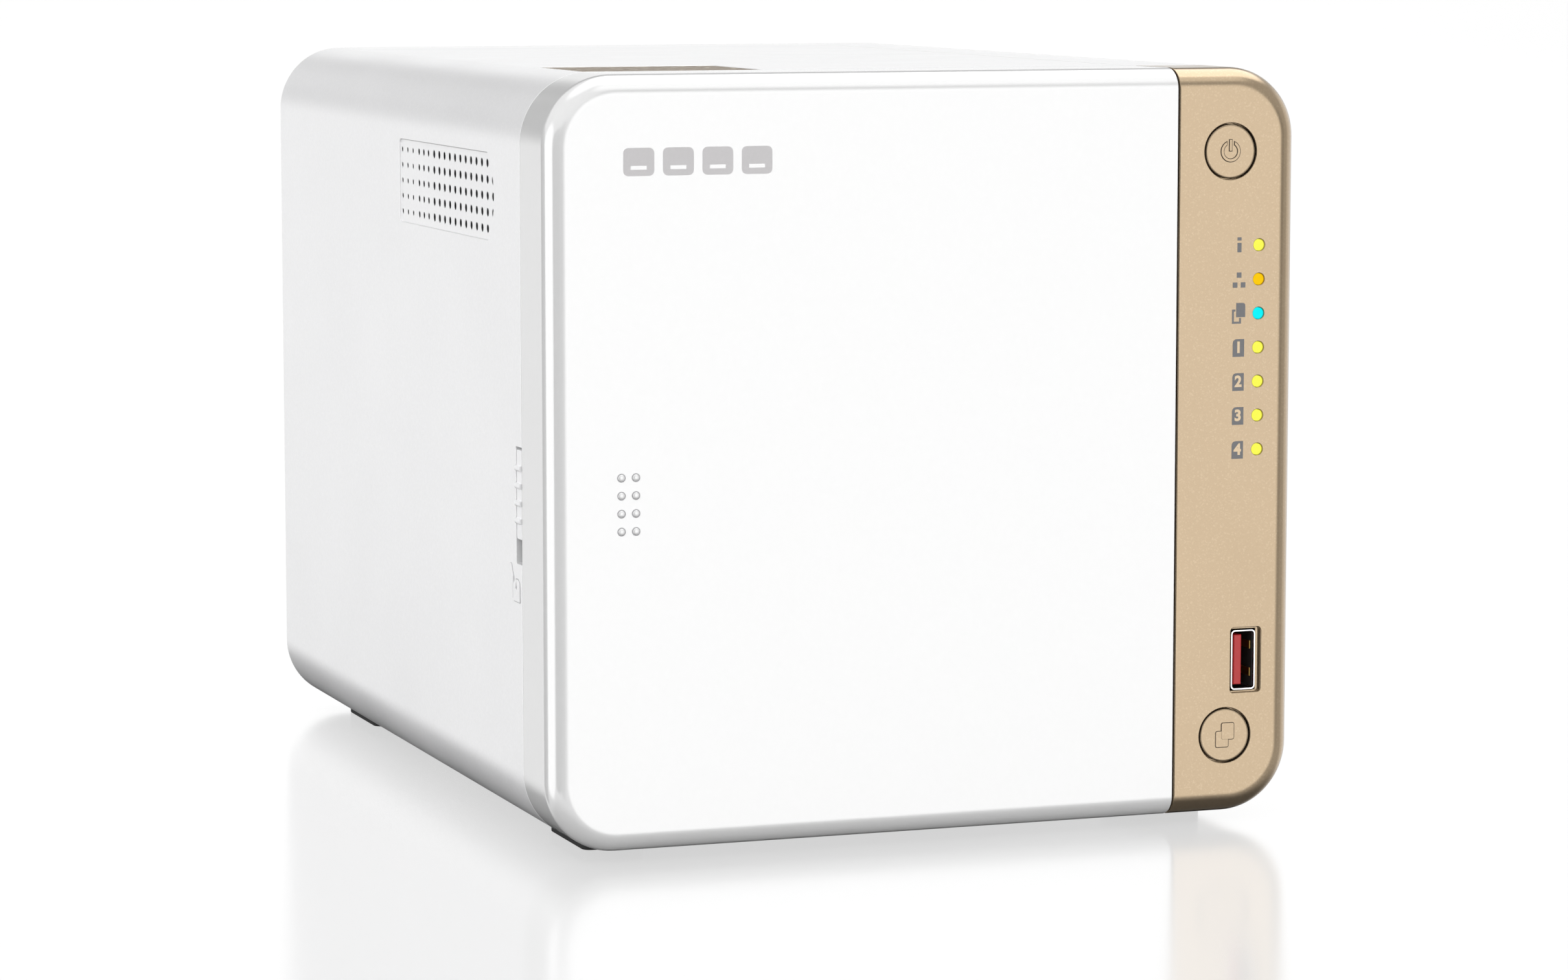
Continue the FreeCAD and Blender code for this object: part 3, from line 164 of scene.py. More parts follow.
class Blank:
    """A solid being formed with bmesh operators, in millimetres."""

    def __init__(self) -> None:
        """Start with an empty mesh."""
        self.mesh = bmesh.new()

    @classmethod
    def block(cls, low: Point, high: Point) -> Blank:
        """A box between two corners.

        Args:
            low: the corner with the least x, y and z.
            high: the opposite corner.

        Returns:
            The blank.
        """
        blank = cls()
        low, high = Vector(low), Vector(high)
        size = Matrix.Diagonal((*(high - low), 1.0))
        place = Matrix.Translation((low + high) / 2) @ size
        bmesh.ops.create_cube(blank.mesh, size=1.0, matrix=place)
        return blank

    @classmethod
    def rod(cls, axis: Axis, start: Point, radius: float, length: float, segments: int = 32,
            end_radius: float | None = None) -> Blank:
        """A cylinder or cone frustum.

        Args:
            axis: the direction it runs in.
            start: the centre of its first end.
            radius: radius of the first end.
            length: how far it runs along the axis.
            segments: number of flats round it.
            end_radius: radius of the far end, if it differs.

        Returns:
            The blank.
        """
        blank = cls()
        middle = Vector(start) + axis.unit() * length / 2
        far = radius if end_radius is None else end_radius
        bmesh.ops.create_cone(
            blank.mesh, cap_ends=True, cap_tris=False, segments=segments, radius1=radius,
            radius2=far, depth=length, matrix=Matrix.Translation(middle) @ axis.turn())
        return blank

    @classmethod
    def turned(cls, axis: Axis, centre: Point, profile: Outline, segments: int = 48) -> Blank:
        """A profile spun round an axis.

        Args:
            axis: the axis of the spin.
            centre: a point on it; the profile's heights start there.
            profile: (radius, height) corners from one pole or rim to the other.
            segments: steps of the spin.

        Returns:
            The blank.
        """
        blank = cls()
        mesh = blank.mesh
        verts = [mesh.verts.new((radius, 0.0, height)) for radius, height in profile]
        edges = [mesh.edges.new(pair) for pair in zip(verts, verts[1:])]
        bmesh.ops.spin(mesh, geom=verts + edges, cent=(0, 0, 0), axis=(0, 0, 1),
                       angle=math.tau, steps=segments, use_merge=True, use_duplicate=False)
        bmesh.ops.transform(mesh, verts=mesh.verts,
                            matrix=Matrix.Translation(Vector(centre)) @ axis.turn())
        return blank.cleaned()

    @classmethod
    def plate(cls, axis: Axis, outline: Outline, low: float, high: float) -> Blank:
        """A flat outline extruded along an axis.

        Args:
            axis: the direction of the extrusion.
            outline: corners on the two other axes, in the order x, y, z.
            low: where the plate starts on the axis.
            high: where it ends.

        Returns:
            The blank.
        """
        blank = cls()
        mesh = blank.mesh
        corners = []
        for first, second in outline:
            place = [first, second]
            place.insert(axis.value, low)
            corners.append(mesh.verts.new(place))
        face = mesh.faces.new(corners)
        grown = bmesh.ops.extrude_face_region(mesh, geom=[face])["geom"]
        moved = [item for item in grown if isinstance(item, bmesh.types.BMVert)]
        bmesh.ops.translate(mesh, verts=moved, vec=axis.unit() * (high - low))
        bmesh.ops.recalc_face_normals(mesh, faces=mesh.faces)
        return blank

    @classmethod
    def text(cls, letters: str, height: float, weight: float) -> Blank:
        """Flat figures standing in the XZ plane, centred on the origin.

        Args:
            letters: the figures.
            height: height of the typeface.
            weight: how much the strokes are thickened.

        Returns:
            The blank, 0.04 thick.
        """
        curve = bpy.data.curves.new("figures", "FONT")
        curve.body = letters
        curve.size = height
        curve.offset = weight
        curve.extrude = 0.02
        curve.align_x = "CENTER"
        curve.align_y = "CENTER"
        item = bpy.data.objects.new("figures", curve)
        blank = cls()
        bpy.context.scene.collection.objects.link(item)
        shape = item.evaluated_get(bpy.context.evaluated_depsgraph_get())
        blank.mesh.from_mesh(bpy.data.meshes.new_from_object(shape))
        bpy.data.objects.remove(item)
        bpy.data.curves.remove(curve)
        bmesh.ops.rotate(blank.mesh, verts=blank.mesh.verts, cent=(0, 0, 0),
                         matrix=Matrix.Rotation(math.pi / 2, 3, "X"))
        return blank.cleaned()

    def cleaned(self) -> Blank:
        """Merge doubled points and turn every face outwards.

        Returns:
            The blank itself.
        """
        bmesh.ops.remove_doubles(self.mesh, verts=self.mesh.verts, dist=MERGE)
        bmesh.ops.recalc_face_normals(self.mesh, faces=self.mesh.faces)
        return self

    def round_edges(self, chosen: Chooser, radius: float, segments: int = 4) -> Blank:
        """Round the edges that the chooser accepts.

        Args:
            chosen: accepts the edges to round.
            radius: radius of the round.
            segments: flats across it.

        Returns:
            The blank itself.
        """
        edges = [edge for edge in self.mesh.edges if chosen(edge)]
        bmesh.ops.bevel(self.mesh, geom=edges, offset=radius, offset_type="OFFSET",
                        segments=segments, profile=0.5, affect="EDGES", material=-1,
                        clamp_overlap=True)
        return self

    def shear(self, amount: Callable[[Vector], Vector]) -> Blank:
        """Move every point by what the function gives for it.

        Args:
            amount: gives the shift of a point.

        Returns:
            The blank itself.
        """
        for vert in self.mesh.verts:
            vert.co += amount(vert.co)
        return self

    def move(self, offset: Point) -> Blank:
        """Move the whole blank."""
        bmesh.ops.translate(self.mesh, verts=self.mesh.verts, vec=offset)
        return self

    def spin_about(self, axis: Axis, centre: Point, degrees: float) -> Blank:
        """Turn the whole blank about an axis through a point.

        Args:
            axis: direction of the turning axis.
            centre: a point on it.
            degrees: how far to turn.

        Returns:
            The blank itself.
        """
        turn = Matrix.Rotation(math.radians(degrees), 3, axis.unit())
        bmesh.ops.rotate(self.mesh, verts=self.mesh.verts, cent=centre, matrix=turn)
        return self

    def join(self, *others: Blank) -> Blank:
        """Add the others' solids to this blank.

        Args:
            others: the blanks to add.

        Returns:
            The blank itself.
        """
        for other in others:
            data = other.as_mesh()
            self.mesh.from_mesh(data)
            bpy.data.meshes.remove(data)
        return self

    def as_mesh(self) -> bpy.types.Mesh:
        """A mesh block of the blank as it is now.

        Returns:
            The mesh block.
        """
        data = bpy.data.meshes.new("blank")
        self.mesh.to_mesh(data)
        return data

    def cut(self, *tools: Blank) -> Blank:
        """Take away the tools, which don't overlap one another.

        Args:
            tools: the blanks to take away.

        Returns:
            The blank itself.
        """
        cutter = Blank().join(*tools)
        items = []
        for blank in (self, cutter):
            item = bpy.data.objects.new("blank", blank.as_mesh())
            bpy.context.scene.collection.objects.link(item)
            items.append(item)
        modifier = items[0].modifiers.new("cut", "BOOLEAN")
        modifier.operation = "DIFFERENCE"
        modifier.solver = "EXACT"
        modifier.object = items[1]
        shape = items[0].evaluated_get(bpy.context.evaluated_depsgraph_get())
        result = bpy.data.meshes.new_from_object(shape)
        self.mesh.clear()
        self.mesh.from_mesh(result)
        bpy.data.meshes.remove(result)
        for item in items:
            data = item.data
            bpy.data.objects.remove(item)
            bpy.data.meshes.remove(data)
        return self

    def piece(self, name: str, finish: Finish, slot: str, body: str = "chassis",
              replaces: Iterable[str] = (), edge: float = 0.15,
              smooth: float = 40.0) -> bpy.types.Object:
        """Turn the blank into a finished piece.

        Args:
            name: the piece's name.
            finish: what it is made of.
            slot: name of the piece's material slot; not used.
            body: the body that it rides on.
            replaces: framed nodes that it stands for.
            edge: width of the small round on its sharp edges, or 0.
            smooth: angle above which an edge stays sharp.

        Returns:
            The piece.
        """
        bmesh.ops.remove_doubles(self.mesh, verts=self.mesh.verts, dist=MERGE)
        bmesh.ops.dissolve_degenerate(self.mesh, edges=self.mesh.edges, dist=MERGE)
        bmesh.ops.scale(self.mesh, verts=self.mesh.verts, vec=(MM, MM, MM))
        data = self.as_mesh()
        data.name = name
        data.shade_smooth()
        data.set_sharp_from_angle(angle=math.radians(smooth))
        item = bpy.data.objects.new(name, data)
        bpy.context.scene.collection.objects.link(item)
        data.materials.append(finish.material())
        if edge:
            bevel = item.modifiers.new("edge_round", "BEVEL")
            bevel.width = edge * MM
            bevel.segments = 2
            bevel.limit_method = "ANGLE"
            bevel.angle_limit = math.radians(smooth)
            bevel.harden_normals = True
        facing = item.modifiers.new("flat_faces", "WEIGHTED_NORMAL")
        facing.keep_sharp = True
        facing.weight = 80
        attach(item, body)
        nodes = tuple(replaces)
        if nodes:
            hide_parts(*nodes)
        self.mesh.free()
        LOG.info("%s: %d faces, rides on %s", name, len(data.polygons), body)
        return item


# ---------------------------------------------------------------- finishes

def colour(red: int, green: int, blue: int) -> tuple[float, float, float, float]:
    """A display colour of 0 to 255 as a linear one.

    Args:
        red: red, 0 to 255.
        green: green, 0 to 255.
        blue: blue, 0 to 255.

    Returns:
        Linear red, green and blue, and an alpha of one.
    """
    def linear(value: int) -> float:
        """One channel."""
        share = value / 255
        return share / 12.92 if share <= 0.04045 else ((share + 0.055) / 1.055) ** 2.4
    return linear(red), linear(green), linear(blue), 1.0


Colour = tuple[float, float, float, float]


class Web:
    """Nodes and links of one node tree."""

    def __init__(self, tree: bpy.types.NodeTree) -> None:
        """Work on this tree."""
        self.tree = tree

    def node(self, kind: str, settings: dict[str, object] | None = None,
             inputs: dict[str, object] | None = None) -> bpy.types.Node:
        """Add a node.

        Args:
            kind: the node's type, without "ShaderNode".
            settings: its properties.
            inputs: values or sockets for its inputs, by name or number.

        Returns:
            The node.
        """
        made = self.tree.nodes.new("ShaderNode" + kind)
        for key, value in (settings or {}).items():
            setattr(made, key, value)
        for key, value in (inputs or {}).items():
            self.feed(made.inputs[key], value)
        return made

    def feed(self, socket: bpy.types.NodeSocket, value: object) -> None:
        """Link a socket to an input, or set the input's own value.

        Args:
            socket: the input.
            value: a socket to link, or a value to set.
        """
        if isinstance(value, bpy.types.NodeSocket):
            self.tree.links.new(value, socket)
        else:
            socket.default_value = value

    def maths(self, operation: str, first: object, second: object = 0.0) -> bpy.types.NodeSocket:
        """Result of a Math node."""
        made = self.node("Math", {"operation": operation}, {0: first, 1: second})
        return made.outputs[0]

    def mixed(self, share: object, first: object, second: object) -> bpy.types.NodeSocket:
        """Colour between two others."""
        made = self.node("Mix", {"data_type": "RGBA"}, {0: share, 6: first, 7: second})
        return made.outputs[2]

    def mapped(self, value: object, low: float, high: float, to_low: float,
               to_high: float) -> bpy.types.NodeSocket:
        """Value carried from one range to another, clamped.

        Args:
            value: the number to carry.
            low: start of its own range.
            high: end of its own range.
            to_low: start of the new range.
            to_high: end of the new range.

        Returns:
            The socket of the result.
        """
        made = self.node("MapRange", None, {"Value": value, "From Min": low, "From Max": high,
                                            "To Min": to_low, "To Max": to_high})
        return made.outputs[0]

    def place_coordinates(self) -> bpy.types.NodeSocket:
        """Object coordinates."""
        return self.node("TexCoord").outputs["Object"]


class Effect(Enum):
    """A surface effect: a node group built once and placed with its own values."""

    GRAIN = "moulded_grain"
    SMUDGE = "handling_variation"
    FLAKE = "metal_flake"
    BRUSHED = "brushed_lines"
    WEAR = "edge_wear"

    def group(self) -> bpy.types.NodeTree:
        """The effect's node group, made on first use.

        Returns:
            The node group.
        """
        tree = bpy.data.node_groups.get(self.value)
        if tree is None:
            tree = bpy.data.node_groups.new(self.value, "ShaderNodeTree")
            BUILDERS[self](tree)
        return tree

    def place(self, web: Web, **values: object) -> bpy.types.Node:
        """Place the group in a tree.

        Args:
            web: the tree to place it in.
            values: its inputs, with underscores for spaces.

        Returns:
            The group node.
        """
        made = web.node("Group", {"node_tree": self.group()})
        for key, value in values.items():
            web.feed(made.inputs[key.replace("_", " ")], value)
        return made


def open_group(tree: bpy.types.NodeTree, inputs: dict[str, float],
               outputs: Sequence[str]) -> tuple[Web, bpy.types.Node, bpy.types.Node]:
    """Give a group its sockets.

    Args:
        tree: the group.
        inputs: names of number inputs and their defaults.
        outputs: names of number outputs.

    Returns:
        The web, the input node and the output node.
    """
    for name, default in inputs.items():
        socket = tree.interface.new_socket(name, in_out="INPUT", socket_type="NodeSocketFloat")
        socket.default_value = default
    for name in outputs:
        tree.interface.new_socket(name, in_out="OUTPUT", socket_type="NodeSocketFloat")
    start = tree.nodes.new("NodeGroupInput")
    end = tree.nodes.new("NodeGroupOutput")
    return Web(tree), start, end


def build_grain(tree: bpy.types.NodeTree) -> None:
    """Fine spark-eroded texture: rounded cells broken up by noise.

    Args:
        tree: the empty group to fill.
    """
    web, start, end = open_group(tree, {"Scale": 1500.0}, ("Height", "Tone"))
    place = web.place_coordinates()
    size = start.outputs["Scale"]
    fine = web.node("TexNoise", None, {"Vector": place, "Scale": size, "Detail": 3.0,
                                       "Roughness": 0.6})
    cells = web.node("TexVoronoi", {"feature": "SMOOTH_F1"},
                     {"Vector": place, "Scale": web.maths("MULTIPLY", size, 0.7)})
    mix = web.maths("MULTIPLY", cells.outputs["Distance"], 0.6)
    height = web.maths("ADD", fine.outputs[0], mix)
    web.feed(end.inputs["Height"], height)
    web.feed(end.inputs["Tone"], web.mapped(height, 0.55, 1.15, 0.0, 1.0))


def build_smudge(tree: bpy.types.NodeTree) -> None:
    """Slow variation of gloss, as from moulding and handling.

    Args:
        tree: the empty group to fill.
    """
    web, start, end = open_group(tree, {"Scale": 25.0, "Base": 0.5, "Amount": 0.1},
                                 ("Roughness", "Tone"))
    cloud = web.node("TexNoise", None, {"Vector": web.place_coordinates(),
                                        "Scale": start.outputs["Scale"], "Detail": 4.0})
    swing = web.maths("SUBTRACT", cloud.outputs[0], 0.5)
    grown = web.maths("MULTIPLY", swing, start.outputs["Amount"])
    web.feed(end.inputs["Roughness"], web.maths("ADD", grown, start.outputs["Base"]))
    web.feed(end.inputs["Tone"], cloud.outputs[0])


def build_flake(tree: bpy.types.NodeTree) -> None:
    """Metal flakes in paint: sparse bright cells and darker specks.

    Args:
        tree: the empty group to fill.
    """
    web, start, end = open_group(tree, {"Scale": 2600.0}, ("Sparkle", "Speck", "Height"))
    place = web.place_coordinates()
    size = start.outputs["Scale"]
    cells = web.node("TexVoronoi", None, {"Vector": place, "Scale": size})
    chance = web.node("SeparateColor", None, {"Color": cells.outputs["Color"]})
    wide = web.node("TexNoise", None, {"Vector": place, "Detail": 2.0,
                                       "Scale": web.maths("MULTIPLY", size, 0.45)})
    web.feed(end.inputs["Sparkle"], web.mapped(chance.outputs[0], 0.75, 1.0, 0.0, 1.0))
    web.feed(end.inputs["Speck"], web.mapped(wide.outputs[0], 0.57, 0.72, 0.0, 1.0))
    web.feed(end.inputs["Height"], chance.outputs[1])


def build_brushed(tree: bpy.types.NodeTree) -> None:
    """Fine parallel lines along X on sheet metal.

    Args:
        tree: the empty group to fill.
    """
    web, start, end = open_group(tree, {"Scale": 900.0}, ("Height", "Tone"))
    stretch = web.node("Mapping", None, {"Vector": web.place_coordinates(),
                                         "Scale": (0.02, 1.0, 1.0)})
    lines = web.node("TexNoise", None, {"Vector": stretch.outputs[0],
                                        "Scale": start.outputs["Scale"], "Detail": 3.0})
    web.feed(end.inputs["Height"], lines.outputs[0])
    web.feed(end.inputs["Tone"], web.mapped(lines.outputs[0], 0.3, 0.7, 0.0, 1.0))


def build_wear(tree: bpy.types.NodeTree) -> None:
    """Outer edges, where a finish rubs thin.

    Args:
        tree: the empty group to fill.
    """
    web, start, end = open_group(tree, {"Amount": 0.5}, ("Mask",))
    point = web.node("NewGeometry").outputs["Pointiness"]
    edge = web.mapped(point, 0.53, 0.62, 0.0, 1.0)
    patchy = web.node("TexNoise", None, {"Vector": web.place_coordinates(), "Scale": 300.0,
                                         "Detail": 3.0})
    broken = web.mapped(patchy.outputs[0], 0.35, 0.6, 0.2, 1.0)
    grown = web.maths("MULTIPLY", web.maths("MULTIPLY", edge, broken), start.outputs["Amount"])
    web.feed(end.inputs["Mask"], grown)


BUILDERS: dict[Effect, Callable[[bpy.types.NodeTree], None]] = {
    Effect.GRAIN: build_grain, Effect.SMUDGE: build_smudge, Effect.FLAKE: build_flake,
    Effect.BRUSHED: build_brushed, Effect.WEAR: build_wear,
}


@dataclass(frozen=True)
class Finish:
    """What a piece is made of. Its subclasses dress the shader."""

    name: str
    tint: Colour
    roughness: float = 0.5

    def material(self) -> bpy.types.Material:
        """The finish's material, made on first use.

        Returns:
            The material.
        """
        title = "finish_" + self.name
        made = bpy.data.materials.get(title)
        if made is None:
            made = bpy.data.materials.new(title)
            made.use_nodes = True
            made.node_tree.nodes.clear()
            web = Web(made.node_tree)
            shader = web.node("BsdfPrincipled")
            output = web.node("OutputMaterial")
            web.feed(output.inputs["Surface"], shader.outputs[0])
            self.dress(web, shader)
        return made

    def dress(self, web: Web, shader: bpy.types.Node) -> None:
        """Set the shader's inputs.

        Args:
            web: the material's tree.
            shader: its principled shader.
        """
        raise NotImplementedError


@dataclass(frozen=True)
class MouldedPlastic(Finish):
    """Plastic or rubber with a moulded grain."""

    grain: float = 1500.0
    depth: float = 0.02
    shade: float = 0.04
    ior: float = 1.5
    wear: float = 0.0

    def dress(self, web: Web, shader: bpy.types.Node) -> None:
        """Grain in the bump and colour, slow swings in the gloss.

        Args:
            web: the material's tree.
            shader: its principled shader.
        """
        grain = Effect.GRAIN.place(web, Scale=self.grain)
        smudge = Effect.SMUDGE.place(web, Scale=30.0, Base=self.roughness, Amount=0.12)
        dark = tuple(channel * (1 - self.shade) for channel in self.tint[:3]) + (1.0,)
        base = web.mixed(grain.outputs["Tone"], dark, self.tint)
        if self.wear:
            wear = Effect.WEAR.place(web, Amount=self.wear)
            light = tuple(min(1.0, channel * 1.5 + 0.05) for channel in self.tint[:3]) + (1.0,)
            base = web.mixed(wear.outputs["Mask"], base, light)
        web.feed(shader.inputs["Base Color"], base)
        web.feed(shader.inputs["Roughness"], smudge.outputs["Roughness"])
        shader.inputs["IOR"].default_value = self.ior
        if self.depth:
            bump = web.node("Bump", None, {"Strength": 0.5, "Distance": self.depth * MM,
                                           "Height": grain.outputs["Height"]})
            web.feed(shader.inputs["Normal"], bump.outputs[0])


@dataclass(frozen=True)
class FlakePaint(Finish):
    """Satin metallic paint."""

    sparkle: Colour = (1.0, 0.9, 0.7, 1.0)
    speck: Colour = (0.2, 0.15, 0.1, 1.0)

    def dress(self, web: Web, shader: bpy.types.Node) -> None:
        """Flakes in the colour, gloss and bump.

        Args:
            web: the material's tree.
            shader: its principled shader.
        """
        flake = Effect.FLAKE.place(web, Scale=3600.0)
        smudge = Effect.SMUDGE.place(web, Scale=40.0, Base=self.roughness, Amount=0.08)
        lit = web.mixed(web.maths("MULTIPLY", flake.outputs["Sparkle"], 0.04),
                        self.tint, self.sparkle)
        base = web.mixed(web.maths("MULTIPLY", flake.outputs["Speck"], 0.08), lit, self.speck)
        web.feed(shader.inputs["Base Color"], base)
        shader.inputs["Metallic"].default_value = 0.85
        web.feed(shader.inputs["Roughness"], smudge.outputs["Roughness"])
        bump = web.node("Bump", None, {"Strength": 0.12, "Distance": 0.01 * MM,
                                       "Height": flake.outputs["Height"]})
        web.feed(shader.inputs["Normal"], bump.outputs[0])


@dataclass(frozen=True)
class Metal(Finish):
    """Bare, plated or anodised metal with brushed lines."""

    lines: float = 900.0
    depth: float = 0.01

    def dress(self, web: Web, shader: bpy.types.Node) -> None:
        """Lines in the colour, gloss and bump.

        Args:
            web: the material's tree.
            shader: its principled shader.
        """
        brushed = Effect.BRUSHED.place(web, Scale=self.lines)
        smudge = Effect.SMUDGE.place(web, Scale=60.0, Base=self.roughness, Amount=0.15)
        wear = Effect.WEAR.place(web, Amount=0.4)
        dark = tuple(channel * 0.82 for channel in self.tint[:3]) + (1.0,)
        light = tuple(min(1.0, channel * 1.2) for channel in self.tint[:3]) + (1.0,)
        base = web.mixed(brushed.outputs["Tone"], dark, self.tint)
        web.feed(shader.inputs["Base Color"], web.mixed(wear.outputs["Mask"], base, light))
        shader.inputs["Metallic"].default_value = 1.0
        web.feed(shader.inputs["Roughness"], smudge.outputs["Roughness"])
        bump = web.node("Bump", None, {"Strength": 0.3, "Distance": self.depth * MM,
                                       "Height": brushed.outputs["Height"]})
        web.feed(shader.inputs["Normal"], bump.outputs[0])


@dataclass(frozen=True)
class CircuitLacquer(Finish):
    """Green lacquer over copper tracks."""

    track: Colour = (0.02, 0.16, 0.06, 1.0)

    def dress(self, web: Web, shader: bpy.types.Node) -> None:
        """Tracks as thin raised lines on a brick grid.

        Args:
            web: the material's tree.
            shader: its principled shader.
        """
        place = web.node("Mapping", None, {"Vector": web.place_coordinates(),
                                           "Rotation": (0.0, math.pi / 2, 0.0)})
        grid = web.node("TexBrick", None, {
            "Vector": place.outputs[0], "Scale": 90.0, "Mortar Size": 0.04,
            "Color1": self.tint, "Color2": tuple(c * 0.8 for c in self.tint[:3]) + (1.0,),
            "Mortar": self.track})
        smudge = Effect.SMUDGE.place(web, Scale=50.0, Base=self.roughness, Amount=0.1)
        web.feed(shader.inputs["Base Color"], grid.outputs["Color"])
        web.feed(shader.inputs["Roughness"], smudge.outputs["Roughness"])
        bump = web.node("Bump", None, {"Strength": 0.4, "Distance": 0.03 * MM,
                                       "Height": grid.outputs["Fac"]})
        web.feed(shader.inputs["Normal"], bump.outputs[0])


@dataclass(frozen=True)
class LensGlow(Finish):
    """Lit indicator lens, with a slight random cloudiness in its glow."""

    strength: float = 1.0

    def dress(self, web: Web, shader: bpy.types.Node) -> None:
        """Glow with a slight cloudiness from the diffuser.

        Args:
            web: the material's tree.
            shader: its principled shader.
        """
        cloud = Effect.SMUDGE.place(web, Scale=900.0, Base=0.0, Amount=0.0)
        deep = tuple(channel * 0.97 for channel in self.tint[:3]) + (1.0,)
        glow = web.mixed(cloud.outputs["Tone"], deep, self.tint)
        shade = web.mixed(cloud.outputs["Tone"], (0.0, 0.0, 0.0, 1.0), (0.01, 0.01, 0.01, 1.0))
        web.feed(shader.inputs["Base Color"], shade)
        web.feed(shader.inputs["Emission Color"], glow)
        shader.inputs["Emission Strength"].default_value = self.strength
        shader.inputs["Specular IOR Level"].default_value = 0.0
        shader.inputs["Roughness"].default_value = self.roughness


@dataclass(frozen=True)
class WavedFoil(Finish):
    """Hot-stamped foil with slow waves, whose lighter bands are painted sheen."""

    light: Colour = (0.62, 0.57, 0.48, 1.0)

    def dress(self, web: Web, shader: bpy.types.Node) -> None:
        """Waves in the colour as painted sheen, and in the bump.

        Args:
            web: the material's tree.
            shader: its principled shader.
        """
        wave = web.node("TexWave", {"wave_type": "BANDS", "bands_direction": "Y"},
                        {"Vector": web.place_coordinates(), "Scale": 120.0, "Distortion": 9.0,
                         "Detail": 2.0, "Detail Scale": 1.2})
        smudge = Effect.SMUDGE.place(web, Scale=80.0, Base=self.roughness, Amount=0.1)
        # Painted sheen: the lighter wave bands in the colour stand for glossy highlights.
        share = web.mapped(wave.outputs["Fac"], 0.55, 1.0, 0.0, 0.9)
        web.feed(shader.inputs["Base Color"], web.mixed(share, self.tint, self.light))
        shader.inputs["Metallic"].default_value = 0.35
        shader.inputs["IOR"].default_value = 1.25
        web.feed(shader.inputs["Roughness"], smudge.outputs["Roughness"])
        bump = web.node("Bump", None, {"Strength": 0.35, "Distance": 0.15 * MM,
                                       "Height": wave.outputs["Fac"]})
        web.feed(shader.inputs["Normal"], bump.outputs[0])


SHELL = MouldedPlastic("shell_plastic", colour(236, 236, 237), 0.2, 2200.0, 0.004, 0.05,
                       ior=2.1)
COVER = MouldedPlastic("gloss_cover", colour(214, 214, 214), 0.08, 900.0, 0.0, 0.012, ior=2.3)
# Painted shade: black for the vent's backing plate and hole sleeves, standing for the shade inside
# the holes.
VENT_SHADE = MouldedPlastic("vent_liner", colour(44, 44, 46), 0.6, 1300.0, 0.02, 0.2)
LOCK = MouldedPlastic("lock_plastic", colour(242, 242, 243), 0.35, 1600.0, 0.02, 0.03)
GOLD = FlakePaint("gold_paint", colour(149, 132, 109), 0.19)
# Foil plate whose lighter wave bands are painted sheen.
BRONZE = WavedFoil("bronze_foil", colour(80, 64, 48), 0.5)
RUBBER = MouldedPlastic("black_rubber", colour(18, 18, 19), 0.7, 900.0, 0.04, 0.3)
BLACK = MouldedPlastic("black_plastic", colour(27, 27, 29), 0.45, 1300.0, 0.04, 0.25, wear=0.2)
HANDLE = MouldedPlastic("handle_plastic", colour(38, 38, 41), 0.36, 1300.0, 0.03, 0.2, wear=0.25)
CLIP = MouldedPlastic("clip_plastic", colour(150, 153, 158), 0.4, 1300.0, 0.02, 0.1)
GREY_INK = MouldedPlastic("grey_print", colour(110, 110, 112), 0.5, 2500.0, 0.0, 0.08)
MARK_INK = MouldedPlastic("mark_print", colour(191, 189, 190), 0.4, 2500.0, 0.0, 0.03)
# Painted shade: grey outlines standing for the shade at the edges of raised marks.
PAINTED_SHADE_LINE = MouldedPlastic("painted_shade_line", colour(160, 160, 162), 0.5, 2500.0, 0.0, 0.06)
FIGURE_INK = MouldedPlastic("figure_print", colour(222, 198, 164), 0.45, 2500.0, 0.0, 0.04)
WHITE_INK = MouldedPlastic("white_print", colour(225, 225, 225), 0.5, 2500.0, 0.0, 0.04)
PANEL = MouldedPlastic("panel_steel", colour(212, 213, 215), 0.5, 1100.0, 0.05, 0.06, wear=0.3)
# Painted shade: dark outline standing for the shade round the raised button signs.
PAINTED_SIGN_SHADE = MouldedPlastic("painted_sign_shadow", colour(60, 48, 36), 0.7, 1300.0, 0.02, 0.2)
# Painted shade: dark parts standing for the shade in gaps and hollows.
SHADOW = MouldedPlastic("painted_inside_shade", colour(34, 34, 36), 0.6, 1300.0, 0.03, 0.2)
STEEL = Metal("zinc_steel", colour(178, 180, 184), 0.38, 700.0)
BRIGHT = Metal("bright_steel", colour(226, 227, 230), 0.2, 1500.0, 0.004)
BRASS = Metal("brass_posts", colour(214, 178, 98), 0.3)
CONTACT = Metal("gold_contacts", colour(232, 196, 110), 0.25, 2000.0, 0.002)
ALUMINIUM = Metal("sink_aluminium", colour(190, 192, 196), 0.35)
CAST = Metal("drive_metal", colour(168, 170, 174), 0.45, 1200.0, 0.02)
BOARD = CircuitLacquer("board_green", colour(20, 92, 52), 0.35)
RED = MouldedPlastic("tongue_red", colour(176, 26, 28), 0.35, 1500.0, 0.01, 0.1)
BLUE = MouldedPlastic("tongue_blue", colour(26, 84, 176), 0.35, 1500.0, 0.01, 0.1)
LABEL = MouldedPlastic("label_paper", colour(232, 233, 235), 0.55, 1200.0, 0.0, 0.04)
YELLOW = LensGlow("lens_yellow", colour(254, 254, 89), 0.3)
AMBER = LensGlow("lens_amber", colour(254, 205, 10), 0.3)
CYAN = LensGlow("lens_cyan", colour(7, 247, 253), 0.3)


# ---------------------------------------------------------------- casing

